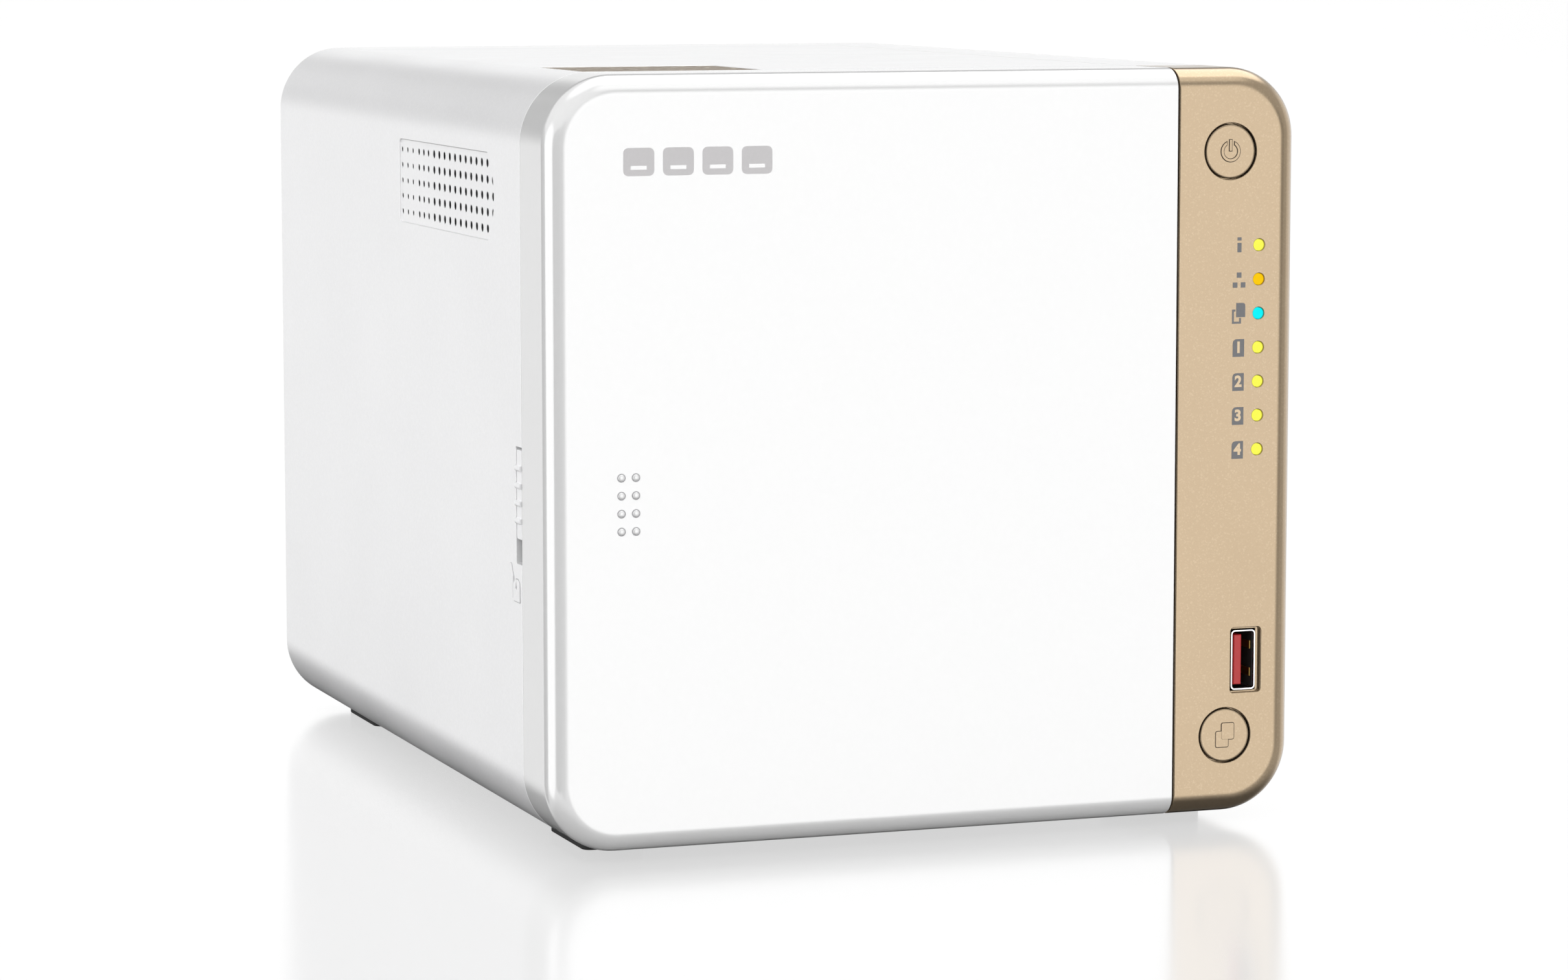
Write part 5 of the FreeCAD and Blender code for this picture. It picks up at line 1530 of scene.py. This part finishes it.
@dataclass
class DriveBays:
    """Frame, trays, handles, clips and drives behind the cover."""

    pitch: float = 32.0
    first_x: float = -61.5
    hole_offset: float = 6.25
    hole_radius: float = 1.7
    hole_y: tuple[float, float] = (-64.5, 37.1)
    frame_box: Extent = field(default_factory=lambda: Extent.of("bay_frame"))

    def build(self) -> None:
        """Make the frame and every bay."""
        self.bay_frame()
        for bay in BAYS:
            x = self.first_x + self.pitch * bay
            self.tray(bay + 1, x)
            self.handle(bay + 1, x)
            self.clips(bay + 1)
            self.drive(bay + 1, x)

    def bay_frame(self) -> None:
        """Black frame round the bay mouths."""
        low, high = self.frame_box.low, self.frame_box.high
        cage = Extent.of("drive_cage")
        plate = Blank.block(low, high).round_edges(along(Axis.Y, x=low.x), 12.6, 16)
        plate.cut(Blank.block((cage.low.x + 1.2, low.y - 1, cage.low.z + 1.2),
                              (cage.high.x - 1.2, high.y + 1, cage.high.z - 1.2)))
        slots = [Blank.block((x - 10, low.y - 1, z - 1.3), (x + 5.6, low.y + 5, z + 1.3))
                 for x in TAB_X for z in TAB_Z]
        lock = Extent.of("cover_lock")
        well = Blank.block((low.x - 1, lock.low.y - 1.1, lock.low.z - 7),
                           (low.x + 2.4, high.y + 1, lock.high.z + 2))
        plate.cut(*slots, well)
        plate.piece("bay_surround", BLACK, "black_plastic", replaces=["bay_frame"], edge=0.3)
        self.seam_trim()

    def seam_trim(self) -> None:
        """Thin black lip that shows as the line between the shells and the front."""
        shell, other = Extent.of("main_shell"), Extent.of("side_shell")
        inset, front, rear = 0.12, shell.low.y - 0.2, shell.low.y
        lip = Blank.block((shell.low.x + inset, front, shell.low.z + inset),
                          (other.high.x - inset, rear, shell.high.z - inset))
        lip.round_edges(along(Axis.Y), 15 - inset, 20)
        mouth = Blank.block((shell.low.x + 2.2, front - 1, shell.low.z + 2.2),
                            (other.high.x - 2.2, rear + 1, shell.high.z - 2.2))
        lock = Extent.of("cover_lock")
        gap = Blank.block((shell.low.x - 1, front - 1, lock.low.z - 4),
                          (shell.low.x + 2.0, rear + 1, lock.high.z + 2))
        lip.cut(mouth.round_edges(along(Axis.Y), 12.8, 20)).cut(gap)
        lip.piece("seam_lip", BLACK, "black_plastic", edge=0.0)

    def tray(self, number: int, x: float) -> None:
        """Tray with a dished front, grille, rails and a windowed base.

        Args:
            number: the bay's number, from 1.
            x: middle of the bay.
        """
        node = f"drive_tray_{number}"
        box = Extent.of(node)
        low, high = box.low, box.high
        back = low.y + 7
        rail_low, rail_high = box.centre.z - 51.2, box.centre.z + 51.2
        front = Blank.block(low, (high.x, back, high.z))
        front.round_edges(rim(Axis.Y, low.y), 0.8, 3)
        dish = Blank.block((low.x + 3.7, low.y - 1, low.z + 7.75),
                           (high.x - 3.7, back - 1.6, high.z - 5.75))
        front.cut(dish.round_edges(along(Axis.Y), 1.5, 4))
        front.cut(*[Blank.block((x - 7, back - 3, low.z + 20 + 7 * step),
                                (x + 7, back + 1, low.z + 22.4 + 7 * step))
                    for step in range(13)])
        rails = [Blank.block((low.x + 0.4, back - 0.5, z), (high.x - 0.4, high.y, z + 3))
                 for z in (rail_low - 3, rail_high)]
        base = Blank.block((low.x + 0.4, back - 0.5, rail_low - 1),
                           (low.x + 2, high.y - 5, rail_high + 1))
        base.cut(*[Blank.block((low.x - 1, y, 55), (low.x + 3, y + 32, 112))
                   for y in (-82.0, -38.0, 6.0)])
        holes = self.screw_holes(x, rail_low - 4, rail_high - 1)
        sides = Blank().join(*rails).cut(*holes)
        front.join(sides, base)
        front.piece(f"tray_{number}_body", BLACK, "black_plastic", f"tray_{number}", [node], 0.2)
        figure = Blank.text(str(number), 3.6, 0.05)
        figure.move((x, low.y - 0.01, low.z + 3.8))
        figure.piece(f"tray_{number}_figure", WHITE_INK, "black_plastic", f"tray_{number}",
                     edge=0.0)

    def screw_holes(self, x: float, *heights: float) -> list[Blank]:
        """Cutters for the screw holes in the long sides of a tray or drive.

        Args:
            x: middle of the bay.
            heights: where the cutters start.

        Returns:
            The cutters.
        """
        return [Blank.rod(Axis.Z, (x - self.hole_offset, y, z), self.hole_radius, 5, 20)
                for y in self.hole_y for z in heights]

    def handle(self, number: int, x: float) -> None:
        """Lever with a finger dish, slots and two stub pins.

        Args:
            number: the bay's number, from 1.
            x: middle of the bay.
        """
        node = f"tray_handle_{number}"
        box = Extent.of(node)
        half, front, foot = 10.9, box.low.y, 36.0
        pivot = front + 4.5
        top = foot + 98
        lever = Blank.block((x - half, front, foot), (x + half, front + 2.6, top))
        lever.round_edges(along(Axis.Y, z=top), 2.5, 5)
        lever.round_edges(rim(Axis.Y, front), 0.7, 3)
        grip = Blank.block((x - half + 3, front - 1, foot + 70),
                           (x + half - 3, front + 1.3, foot + 92))
        slots = [Blank.block((x - 6, front - 1, foot + 10 + 7 * step),
                             (x + 6, front + 4, foot + 12.4 + 7 * step)) for step in range(8)]
        lever.cut(grip.round_edges(along(Axis.Y), 2.0, 5),
                  *[slot.round_edges(along(Axis.Y), 1.0, 3) for slot in slots])
        knuckle = Blank.plate(Axis.X, [(front, foot), (front, foot + 6),
                                       (pivot + 1.2, foot + 6), (pivot + 1.8, foot)],
                              x - half, x + half)
        hinge = Blank.rod(Axis.X, (x - half, pivot, foot), 2.3, 2 * half, 32)
        pin = Blank.rod(Axis.X, (x - half - 1.5, pivot, foot), 1.5, 2 * half + 3, 24)
        lever.join(knuckle, hinge, pin)
        lever.piece(f"handle_{number}_lever", HANDLE, "handle_plastic", f"handle_{number}",
                    [node], 0.2)

    def clips(self, number: int) -> None:
        """Tool-less strips keep their framed shape."""
        dress_node(f"tray_clips_{number}", CLIP)

    def drive(self, number: int, x: float) -> None:
        """Hard drive: cast body, stepped lid, label, lid screws and side holes.

        Args:
            number: the bay's number, from 1.
            x: middle of the bay.
        """
        node = f"hard_drive_{number}"
        low, high = Extent.of(node).low, Extent.of(node).high
        body = Blank.block(low, high).round_edges(along(Axis.X), 2.0, 4)
        lid = Blank.block((high.x - 0.6, low.y + 8, low.z + 6),
                          (high.x + 1, high.y - 12, high.z - 6))
        notch = Blank.block((low.x - 1, high.y - 5, 70), (low.x + 7, high.y + 1, 112))
        holes = self.screw_holes(x, low.z - 1, high.z - 4)
        body.cut(lid.round_edges(along(Axis.X), 5.0, 5), notch, *holes)
        for y in (low.y + 4, high.y - 6):
            for z in (low.z + 3.2, high.z - 3.2):
                screw = Blank.rod(Axis.X, (high.x - 0.4, y, z), 1.6, 0.35, 20)
                body.join(screw)
        body.piece(f"drive_{number}_case", CAST, "drive_metal", f"tray_{number}", [node], 0.2)
        label = Blank.block((high.x - 0.65, low.y + 20, low.z + 14),
                            (high.x - 0.55, high.y - 30, high.z - 14))
        label.piece(f"drive_{number}_label", LABEL, "drive_metal", f"tray_{number}", edge=0.0)


# ---------------------------------------------------------------- rear

@dataclass
class RearPanel:
    """Rear plate, sockets, reset button and screws."""

    board_face: float = 58.6
    inlet_z: float = 20.0
    lan_z: tuple[float, float] = (55.0, 73.0)
    usb_z: tuple[float, float] = (93.0, 109.0)
    hdmi_z: tuple[float, float] = (128.0, 146.0)
    panel: Extent = field(default_factory=lambda: Extent.of("rear_panel"))

    def build(self) -> None:
        """Dress the plate and make what comes through it."""
        dress_node("rear_panel", PANEL)
        self.lan_jacks()
        self.usb_ports()
        self.hdmi_ports()
        self.power_socket()
        self.screws()
        self.reset()

    @property
    def rear(self) -> float:
        """Where the sockets' faces stand."""
        return self.panel.high.y + 0.5

    def shell(self, z: float, reach: float, tall: float, length: float) -> Blank:
        """Outer block of a socket."""
        return Blank.block((self.board_face, self.rear - length, z - tall / 2),
                           (self.board_face + reach, self.rear, z + tall / 2))

    def lan_jacks(self) -> None:
        """Two shielded network sockets with eight contacts and a latch slot."""
        shields, inserts, contacts = Blank(), Blank(), Blank()
        left = self.board_face
        for z in self.lan_z:
            shield = self.shell(z, 13.5, 16.0, 19.0)
            hollow = Blank.plate(Axis.Y, [
                (left + 3, z - 5.9), (left + 10.2, z - 5.9), (left + 10.2, z - 3),
                (left + 12, z - 3), (left + 12, z + 3), (left + 10.2, z + 3),
                (left + 10.2, z + 5.9), (left + 3, z + 5.9)], self.rear - 13, self.rear + 1)
            shields.join(shield.cut(hollow))
            inserts.join(Blank.block((left + 2.9, self.rear - 13.2, z - 5.9),
                                     (left + 12.1, self.rear - 12.6, z + 5.9)))
            for step in range(8):
                height = z - 3.57 + 1.02 * step
                wire = Blank.block((left + 3.2, self.rear - 12.8, height - 0.18),
                                   (left + 3.6, self.rear - 2, height + 0.18))
                wire.shear(lambda co: Vector((max(0.0, 106.0 - co.y) * 0.35, 0, 0)))
                contacts.join(wire)
        shields.piece("lan_shields", BRIGHT, "bright_steel", replaces=["lan_jacks"], edge=0.15)
        inserts.piece("lan_inserts", BLACK, "black_plastic", edge=0.0)
        contacts.piece("lan_contacts", CONTACT, "brass_posts", edge=0.0)

    def usb_ports(self) -> None:
        """Two stacked pairs of sockets with blue tongues and contacts."""
        shells, tongues, contacts = Blank(), Blank(), Blank()
        for z in self.usb_z:
            shell = self.shell(z, 16.0, 14.0, 17.0)
            mouths = []
            for start in (1.3, 9.1):
                left = self.board_face + start
                mouth = Blank.block((left, self.rear - 11, z - 6.2),
                                    (left + 5.2, self.rear + 1, z + 6.2))
                mouths.append(mouth.round_edges(along(Axis.Y), 0.5, 3))
                tongues.join(Blank.block((left + 0.6, self.rear - 11.5, z - 5.5),
                                         (left + 2.4, self.rear - 0.6, z + 5.5)))
                for step in range(4):
                    height = z - 3.75 + 2.5 * step
                    contacts.join(Blank.block((left + 2.35, self.rear - 11, height - 0.5),
                                              (left + 2.5, self.rear - 1.6, height + 0.5)))
            shells.join(shell.cut(*mouths))
        shells.piece("usb_shells", BRIGHT, "bright_steel", replaces=["usb_rear_ports"], edge=0.15)
        tongues.piece("usb_tongues", BLUE, "black_plastic", edge=0.15)
        contacts.piece("usb_contacts", CONTACT, "brass_posts", edge=0.0)

    def hdmi_ports(self) -> None:
        """Two video sockets, each mouth with two cut corners."""
        shells, tongues = Blank(), Blank()
        left = self.board_face + 0.8
        for z in self.hdmi_z:
            mouth = Blank.plate(Axis.Y, [
                (left, z - 5.6), (left + 1.5, z - 7), (left + 4.6, z - 7), (left + 4.6, z + 7),
                (left + 1.5, z + 7), (left, z + 5.6)], self.rear - 8, self.rear + 1)
            shells.join(self.shell(z, 6.2, 15.4, 12.0).cut(mouth))
            tongues.join(Blank.block((left + 1.6, self.rear - 8.5, z - 5.8),
                                     (left + 3.0, self.rear - 1.5, z + 5.8)))
        shells.piece("hdmi_shells", BRIGHT, "bright_steel", replaces=["hdmi_ports"], edge=0.15)
        tongues.piece("hdmi_tongues", BLACK, "black_plastic", edge=0.15)

    def power_socket(self) -> None:
        """Round inlet with a lined bore and a centre pin."""
        z, x = self.inlet_z, self.board_face + 7
        housing = self.shell(z, 13.0, 11.0, 14.0)
        housing.cut(Blank.rod(Axis.Y, (x, self.rear - 10, z), 3.2, 12, 40))
        ring = Blank.turned(Axis.Y, (x, self.rear, z),
                            [(3.2, -0.3), (3.2, 0.0), (4.0, 0.0), (4.2, -0.3)], 40)
        housing.join(ring)
        housing.piece("power_inlet_body", BLACK, "black_plastic", replaces=["dc_power_jack"])
        pin = Blank.turned(Axis.Y, (x, self.rear - 10.5, z),
                           [(0, 0), (1.25, 0), (1.25, 8.6), (0.9, 9.3), (0, 9.5)], 24)
        pin.piece("power_inlet_pin", BRIGHT, "bright_steel", edge=0.0)

    def cross_screw(self, centre: Point, radius: float, height: float) -> Blank:
        """Pan-head screw facing +Y with a cross recess and its shank.

        Args:
            centre: where the head meets the panel.
            radius: radius of the head.
            height: height of the head.

        Returns:
            The blank.
        """
        head = Blank.turned(Axis.Y, centre, [
            (0, -9.5), (1.3, -9.5), (1.3, 0), (radius, 0), (radius, height * 0.45),
            (radius * 0.75, height * 0.85), (radius * 0.4, height), (0, height)], 32)
        x, y, z = centre
        size = radius * 0.55
        cross = Blank.plate(Axis.Y, [
            (x - 0.35, z - size), (x + 0.35, z - size), (x + 0.35, z - 0.35), (x + size, z - 0.35),
            (x + size, z + 0.35), (x + 0.35, z + 0.35), (x + 0.35, z + size), (x - 0.35, z + size),
            (x - 0.35, z + 0.35), (x - size, z + 0.35), (x - size, z - 0.35),
            (x - 0.35, z - 0.35)], y + height - 0.9, y + height + 1)
        return head.cut(cross)

    def four_screws(self, node: str, name: str, radius: float, height: float,
                    seat: float) -> None:
        """Four screws in the corners of a framed node's box.

        Args:
            node: the framed screws.
            name: the piece's name.
            radius: radius of a head, and its inset from the box.
            height: height of a head.
            seat: where the heads meet the panel along Y.
        """
        low, high = Extent.of(node).low, Extent.of(node).high
        heads = Blank()
        for x in (low.x + radius, high.x - radius):
            for z in (low.z + radius, high.z - radius):
                heads.join(self.cross_screw((x, seat, z), radius, height))
        heads.piece(name, BRIGHT, "bright_steel", replaces=[node], edge=0.0)

    def screws(self) -> None:
        """Corner screws of the plate and the four screws of the fan."""
        self.four_screws("rear_screws", "rear_panel_screws", 2.9, 1.6, self.panel.high.y)
        fan_seat = Extent.of("fan_screws").high.y - 1.4
        self.four_screws("fan_screws", "fan_fixing_screws", 3.6, 1.4, fan_seat)

    def reset(self) -> None:
        """Small stepped reset button."""
        low, high = Extent.of("reset_button").low, Extent.of("reset_button").high
        cap = Blank.turned(Axis.Y, (65.0, 0.0, 36.0), [
            (0, low.y), (2.4, low.y), (2.4, low.y + 1), (1.5, low.y + 1), (1.5, high.y - 0.3),
            (1.2, high.y), (0, high.y)], 32)
        cap.piece("reset_button_cap", BLACK, "black_plastic", "reset_button", ["reset_button"],
                  0.05)


@dataclass
class Fan:
    """Cooling fan: square frame and seven-bladed rotor, behind a wire guard."""

    blades: int = 7
    hub: float = 19.0
    tip: float = 54.5
    hole_offset: float = 52.5
    duct_radius: float = 57.0
    frame_box: Extent = field(default_factory=lambda: Extent.of("fan_frame"))

    def build(self) -> None:
        """Make the frame and the rotor, and dress the guard."""
        self.housing()
        self.rotor()
        dress_node("fan_guard", BRIGHT)

    def housing(self) -> None:
        """Frame with a flared duct, flange wells, struts and a bearing plate."""
        low, high, centre = self.frame_box.low, self.frame_box.high, self.frame_box.centre
        block = Blank.block(low, high).round_edges(along(Axis.Y), 6.0, 6)
        duct = Blank.turned(Axis.Y, (centre.x, 0, centre.z), [
            (0, low.y - 1), (self.duct_radius + 1.8, low.y - 1), (self.duct_radius, low.y + 3),
            (self.duct_radius, high.y - 3), (self.duct_radius + 1.8, high.y + 1),
            (0, high.y + 1)], 72)
        block.cut(duct)
        places = [(centre.x + sx * self.hole_offset, centre.z + sz * self.hole_offset)
                  for sx in (-1, 1) for sz in (-1, 1)]
        block.cut(*[Blank.rod(Axis.Y, (x, low.y - 1, z), 2.15, 30, 24) for x, z in places])
        block.cut(*[Blank.rod(Axis.Y, (x, low.y + 4, z), 5.2, high.y - low.y - 8, 24)
                    for x, z in places])
        struts = [Blank.block((centre.x - 57.5, high.y - 3, centre.z - 2),
                              (centre.x - 18, high.y, centre.z + 2))
                  .spin_about(Axis.Y, centre, 90.0 * step) for step in range(4)]
        plate = Blank.turned(Axis.Y, (centre.x, high.y, centre.z), [
            (0, -3.5), (self.hub, -3.5), (self.hub, 0), (0, 0)], 48)
        block.join(*struts, plate)
        block.piece("fan_housing", BLACK, "black_plastic", replaces=["fan_frame"], edge=0.2)

    def rotor(self) -> None:
        """Hub cup with swept, twisted blades."""
        box = Extent.of("fan_rotor")
        centre = self.frame_box.centre
        front, rear = box.low.y, self.frame_box.high.y - 4
        cup = Blank.turned(Axis.Y, (centre.x, 0, centre.z), [
            (0, front), (17.2, front), (18.6, front + 0.5), (self.hub, front + 1.6),
            (self.hub, rear), (17, rear), (17, front + 2), (1.5, front + 2), (1.5, rear + 2.5),
            (0, rear + 2.5)], 48)
        for step in range(self.blades):
            cup.join(self.blade(front + 1.2, rear - 1.0, 360.0 * step / self.blades))
        cup.piece("fan_rotor_blades", HANDLE, "black_plastic", "fan_rotor", ["fan_rotor"], 0.0,
                  smooth=50.0)

    def blade(self, front: float, rear: float, degrees: float) -> Blank:
        """One blade.

        Args:
            front: where it starts along Y.
            rear: where it ends.
            degrees: its place round the hub.

        Returns:
            The blank.
        """
        made = Blank()
        mesh = made.mesh
        bmesh.ops.create_grid(mesh, x_segments=8, y_segments=6, size=0.5)
        centre = self.frame_box.centre
        for vert in mesh.verts:
            out, chord = vert.co.x + 0.5, vert.co.y + 0.5
            radius = 18.0 + (self.tip - 18.0) * out
            swing = (chord - 0.5) * math.radians(46) + 0.28 * out + 0.12 * math.sin(
                math.pi * chord)
            y = rear + (front - rear) * chord * (1 - 0.18 * out) - 1.2 * out
            vert.co = (radius * math.cos(swing), y, radius * math.sin(swing))
        bmesh.ops.solidify(mesh, geom=mesh.faces, thickness=1.3)
        bmesh.ops.recalc_face_normals(mesh, faces=mesh.faces)
        made.spin_about(Axis.Y, (0, 0, 0), degrees)
        return made.move((centre.x, 0, centre.z))


# ---------------------------------------------------------------- inside

def dress_node(node: str, finish: Finish) -> None:
    """Give a framed node, kept as it is, a finish through its material slots.

    Args:
        node: its name.
        finish: the finish.
    """
    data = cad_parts[node].data
    data.materials.clear()
    data.materials.append(finish.material())
    LOG.info("%s: framed shape kept, %s", node, finish.name)


@dataclass(frozen=True)
class Inside:
    """Finishes of the framed pieces that keep their shape."""

    finishes: tuple[tuple[str, Finish], ...] = (
        ("drive_cage", STEEL), ("cage_rails", BLACK), ("cage_screws", BRIGHT),
        ("backplane_board", BOARD), ("sata_connectors", BLACK), ("backplane_connector", BLACK),
        ("main_board", BOARD), ("board_standoffs", BRASS), ("board_screws", BRIGHT),
        ("heatsink", ALUMINIUM), ("memory_socket", BLACK), ("memory_module", BOARD),
        ("rtc_battery", BRIGHT), ("buzzer", BLACK), ("front_board", BOARD),
        ("tact_switches", BLACK),
    )

    def build(self) -> None:
        """Dress each of them."""
        for node, finish in self.finishes:
            dress_node(node, finish)


# ---------------------------------------------------------------- studio

@dataclass(frozen=True)
class LightPatch:
    """A soft area of the surrounding light, seen in reflections."""

    azimuth: float
    elevation: float
    half_angle: float
    softness: float
    strength: float

    def direction(self) -> Vector:
        """Unit vector to its middle; azimuth 0 is +Y and 90 is +X.

        Returns:
            The vector.
        """
        azimuth, elevation = math.radians(self.azimuth), math.radians(self.elevation)
        flat = math.cos(elevation)
        return Vector((math.sin(azimuth) * flat, math.cos(azimuth) * flat, math.sin(elevation)))


@dataclass
class Studio:
    """Pale floor, soft lights and the camera."""

    camera_place: Point = (-377.6, -1064.15, 196.6)
    camera_yaw: float = 0.3472
    camera_pitch: float = 0.1170
    lens: float = 111.42
    floor_matt: float = 0.12
    floor_lift: float = 0.93
    floor_gloss: float = 0.34
    floor_roughness: float = 0.16
    backdrop: float = 1.05
    soft_base: float = 0.72
    soft_patches: tuple[LightPatch, ...] = (
        LightPatch(0, 90, 40, 30, -0.45),
        LightPatch(180, 10, 45, 25, 0.95),
        LightPatch(-90, 8, 40, 25, 1.0),
        LightPatch(90, 5, 40, 25, 0.4),
    )
    shiny_base: float = 1.0
    shiny_patches: tuple[LightPatch, ...] = (
        LightPatch(-88, 0, 24, 4, 1.4),
        LightPatch(-130, 0, 16, 4, -1.3),
        LightPatch(-43, -6, 18, 4, -1.2),
        LightPatch(163, 0, 20, 8, 1.5),
        LightPatch(0, -90, 58, 14, -0.85),
        LightPatch(163, 24, 7, 5, -0.5),
        LightPatch(150, 54, 16, 8, 1.2),
        LightPatch(24, 36, 14, 5, -0.75),
        LightPatch(-22, 13, 11, 6, -1.1),
        LightPatch(-3, 27, 12, 7, -1.0),
        LightPatch(60, 66, 30, 6, 3.0),
        LightPatch(-60, 80, 24, 6, 1.2),
        LightPatch(8, -27, 23, 5, -1.1),
        LightPatch(-150, 0, 16, 8, -0.8),
        LightPatch(134, 0, 8, 6, -0.4),
        LightPatch(34, -6, 8, 6, -0.2),
        LightPatch(74, 0, 24, 6, 0.6),
    )

    def build(self) -> None:
        """Make the stage."""
        self.colours()
        self.floor()
        self.surroundings()
        self.lamps()
        self.camera()

    def colours(self) -> None:
        """Plain display colours, so that white stays white."""
        bpy.context.scene.view_settings.view_transform = "Standard"

    def floor(self) -> None:
        """Pale glossy floor."""
        mesh = bmesh.new()
        bmesh.ops.create_grid(mesh, x_segments=1, y_segments=1, size=30.0)
        data = bpy.data.meshes.new("floor")
        mesh.to_mesh(data)
        mesh.free()
        item = bpy.data.objects.new("floor", data)
        bpy.context.scene.collection.objects.link(item)
        item.visible_glossy = False
        material = bpy.data.materials.new("floor_white")
        material.use_nodes = True
        material.node_tree.nodes.clear()
        web = Web(material.node_tree)
        matt = web.node("BsdfDiffuse", None, {"Color": (*[self.floor_matt] * 3, 1.0)})
        lift = web.node("Emission", None, {"Color": (1, 1, 1, 1),
                                               "Strength": self.floor_lift})
        seen = web.node("LightPath").outputs["Is Camera Ray"]
        dark = web.node("BsdfTransparent", None, {"Color": (0, 0, 0, 1)})
        raised = web.node("MixShader", None, {0: seen, 1: dark.outputs[0], 2: lift.outputs[0]})
        base = web.node("AddShader", None, {0: matt.outputs[0], 1: raised.outputs[0]})
        gloss = web.node("BsdfGlossy", None, {"Color": (1, 1, 1, 1),
                                              "Roughness": self.floor_roughness})
        both = web.node("MixShader", None, {0: self.floor_gloss, 1: base.outputs[0],
                                            2: gloss.outputs[0]})
        output = web.node("OutputMaterial")
        web.feed(output.inputs["Surface"], both.outputs[0])
        data.materials.append(material)

    def surroundings(self) -> None:
        """White to the camera, even for soft light, and patched for reflections."""
        world = bpy.data.worlds.new("studio")
        bpy.context.scene.world = world
        world.cycles.sampling_method = "NONE"
        world.use_nodes = True
        world.node_tree.nodes.clear()
        web = Web(world.node_tree)
        path = web.node("LightPath")
        soft = web.node("Background", None, {
            "Color": (1, 1, 1, 1), "Strength": self.level(web, self.soft_base, self.soft_patches)})
        shiny = web.node("Background", None, {
            "Color": (1, 1, 1, 1),
            "Strength": self.level(web, self.shiny_base, self.shiny_patches)})
        white = web.node("Background", None, {"Color": (1, 1, 1, 1),
                                              "Strength": self.backdrop})
        first = web.node("MixShader", None, {0: path.outputs["Is Glossy Ray"],
                                             1: soft.outputs[0], 2: shiny.outputs[0]})
        last = web.node("MixShader", None, {0: path.outputs["Is Camera Ray"],
                                            1: first.outputs[0], 2: white.outputs[0]})
        output = web.node("OutputWorld")
        web.feed(output.inputs["Surface"], last.outputs[0])

    def level(self, web: Web, base: float,
              patches: Sequence[LightPatch]) -> bpy.types.NodeSocket:
        """Strength of the surrounding light by direction.

        Args:
            web: the world's tree.
            base: strength outside every patch.
            patches: the areas to add.

        Returns:
            The socket of the strength.
        """
        heading = web.node("TexCoord").outputs["Generated"]
        total: object = base
        for patch in patches:
            dot = web.node("VectorMath", {"operation": "DOT_PRODUCT"},
                           {0: heading, 1: patch.direction()}).outputs["Value"]
            outer = math.cos(math.radians(patch.half_angle + patch.softness))
            inner = math.cos(math.radians(patch.half_angle - patch.softness))
            made = web.node("MapRange", {"interpolation_type": "SMOOTHSTEP"}, {
                "Value": dot, "From Min": outer, "From Max": inner,
                "To Min": 0.0, "To Max": patch.strength})
            total = web.maths("ADD", total, made.outputs[0])
        return web.maths("MAXIMUM", total, 0.0)

    def lamps(self) -> None:
        """Large soft boxes at the left front, above and at the right."""
        self.soft_box("key_box", (-0.9, -1.5, 1.3), 1.2, 4.0)
        self.soft_box("side_box", (-1.2, 0.1, 0.5), 0.7, 1.0)
        self.soft_box("fill_box", (1.2, -1.4, 0.9), 1.2, 1.0)

    def soft_box(self, name: str, place: Point, size: float, power: float) -> None:
        """One square area light aimed at the object, left out of reflections.

        Args:
            name: the lamp's name.
            place: where it stands, in metres.
            size: length of its side, in metres.
            power: its power in watts.
        """
        lamp = bpy.data.lights.new(name, "AREA")
        lamp.shape = "SQUARE"
        lamp.size = size
        lamp.energy = power
        item = bpy.data.objects.new(name, lamp)
        bpy.context.scene.collection.objects.link(item)
        aim = Vector((0, 0, 0.08)) - Vector(place)
        item.location = place
        item.rotation_euler = aim.to_track_quat("-Z", "Y").to_euler()
        item.visible_glossy = False
        item.visible_camera = False

    def camera(self) -> None:
        """Camera at the wanted angle."""
        view = bpy.data.cameras.new("camera")
        view.lens = self.lens
        view.sensor_width = 36.0
        view.sensor_fit = "HORIZONTAL"
        view.clip_start = 0.01
        view.clip_end = 100.0
        item = bpy.data.objects.new("camera", view)
        bpy.context.scene.collection.objects.link(item)
        item.location = Vector(self.camera_place) * MM
        item.rotation_euler = (math.pi / 2 - self.camera_pitch, 0.0, -self.camera_yaw)
        bpy.context.scene.camera = item


# ---------------------------------------------------------------- building


def main() -> None:
    """Build every sub-assembly in order."""
    logging.basicConfig(level=logging.INFO, format="%(name)s %(message)s", stream=sys.stdout)
    for assembly in (Casing(), FrontCover(), CoverLock(), ControlStrip(), DriveBays(),
                     RearPanel(), Fan(), Inside(), Studio()):
        assembly.build()
        LOG.info("%s done", type(assembly).__name__)


if __name__ == "__main__":
    main()
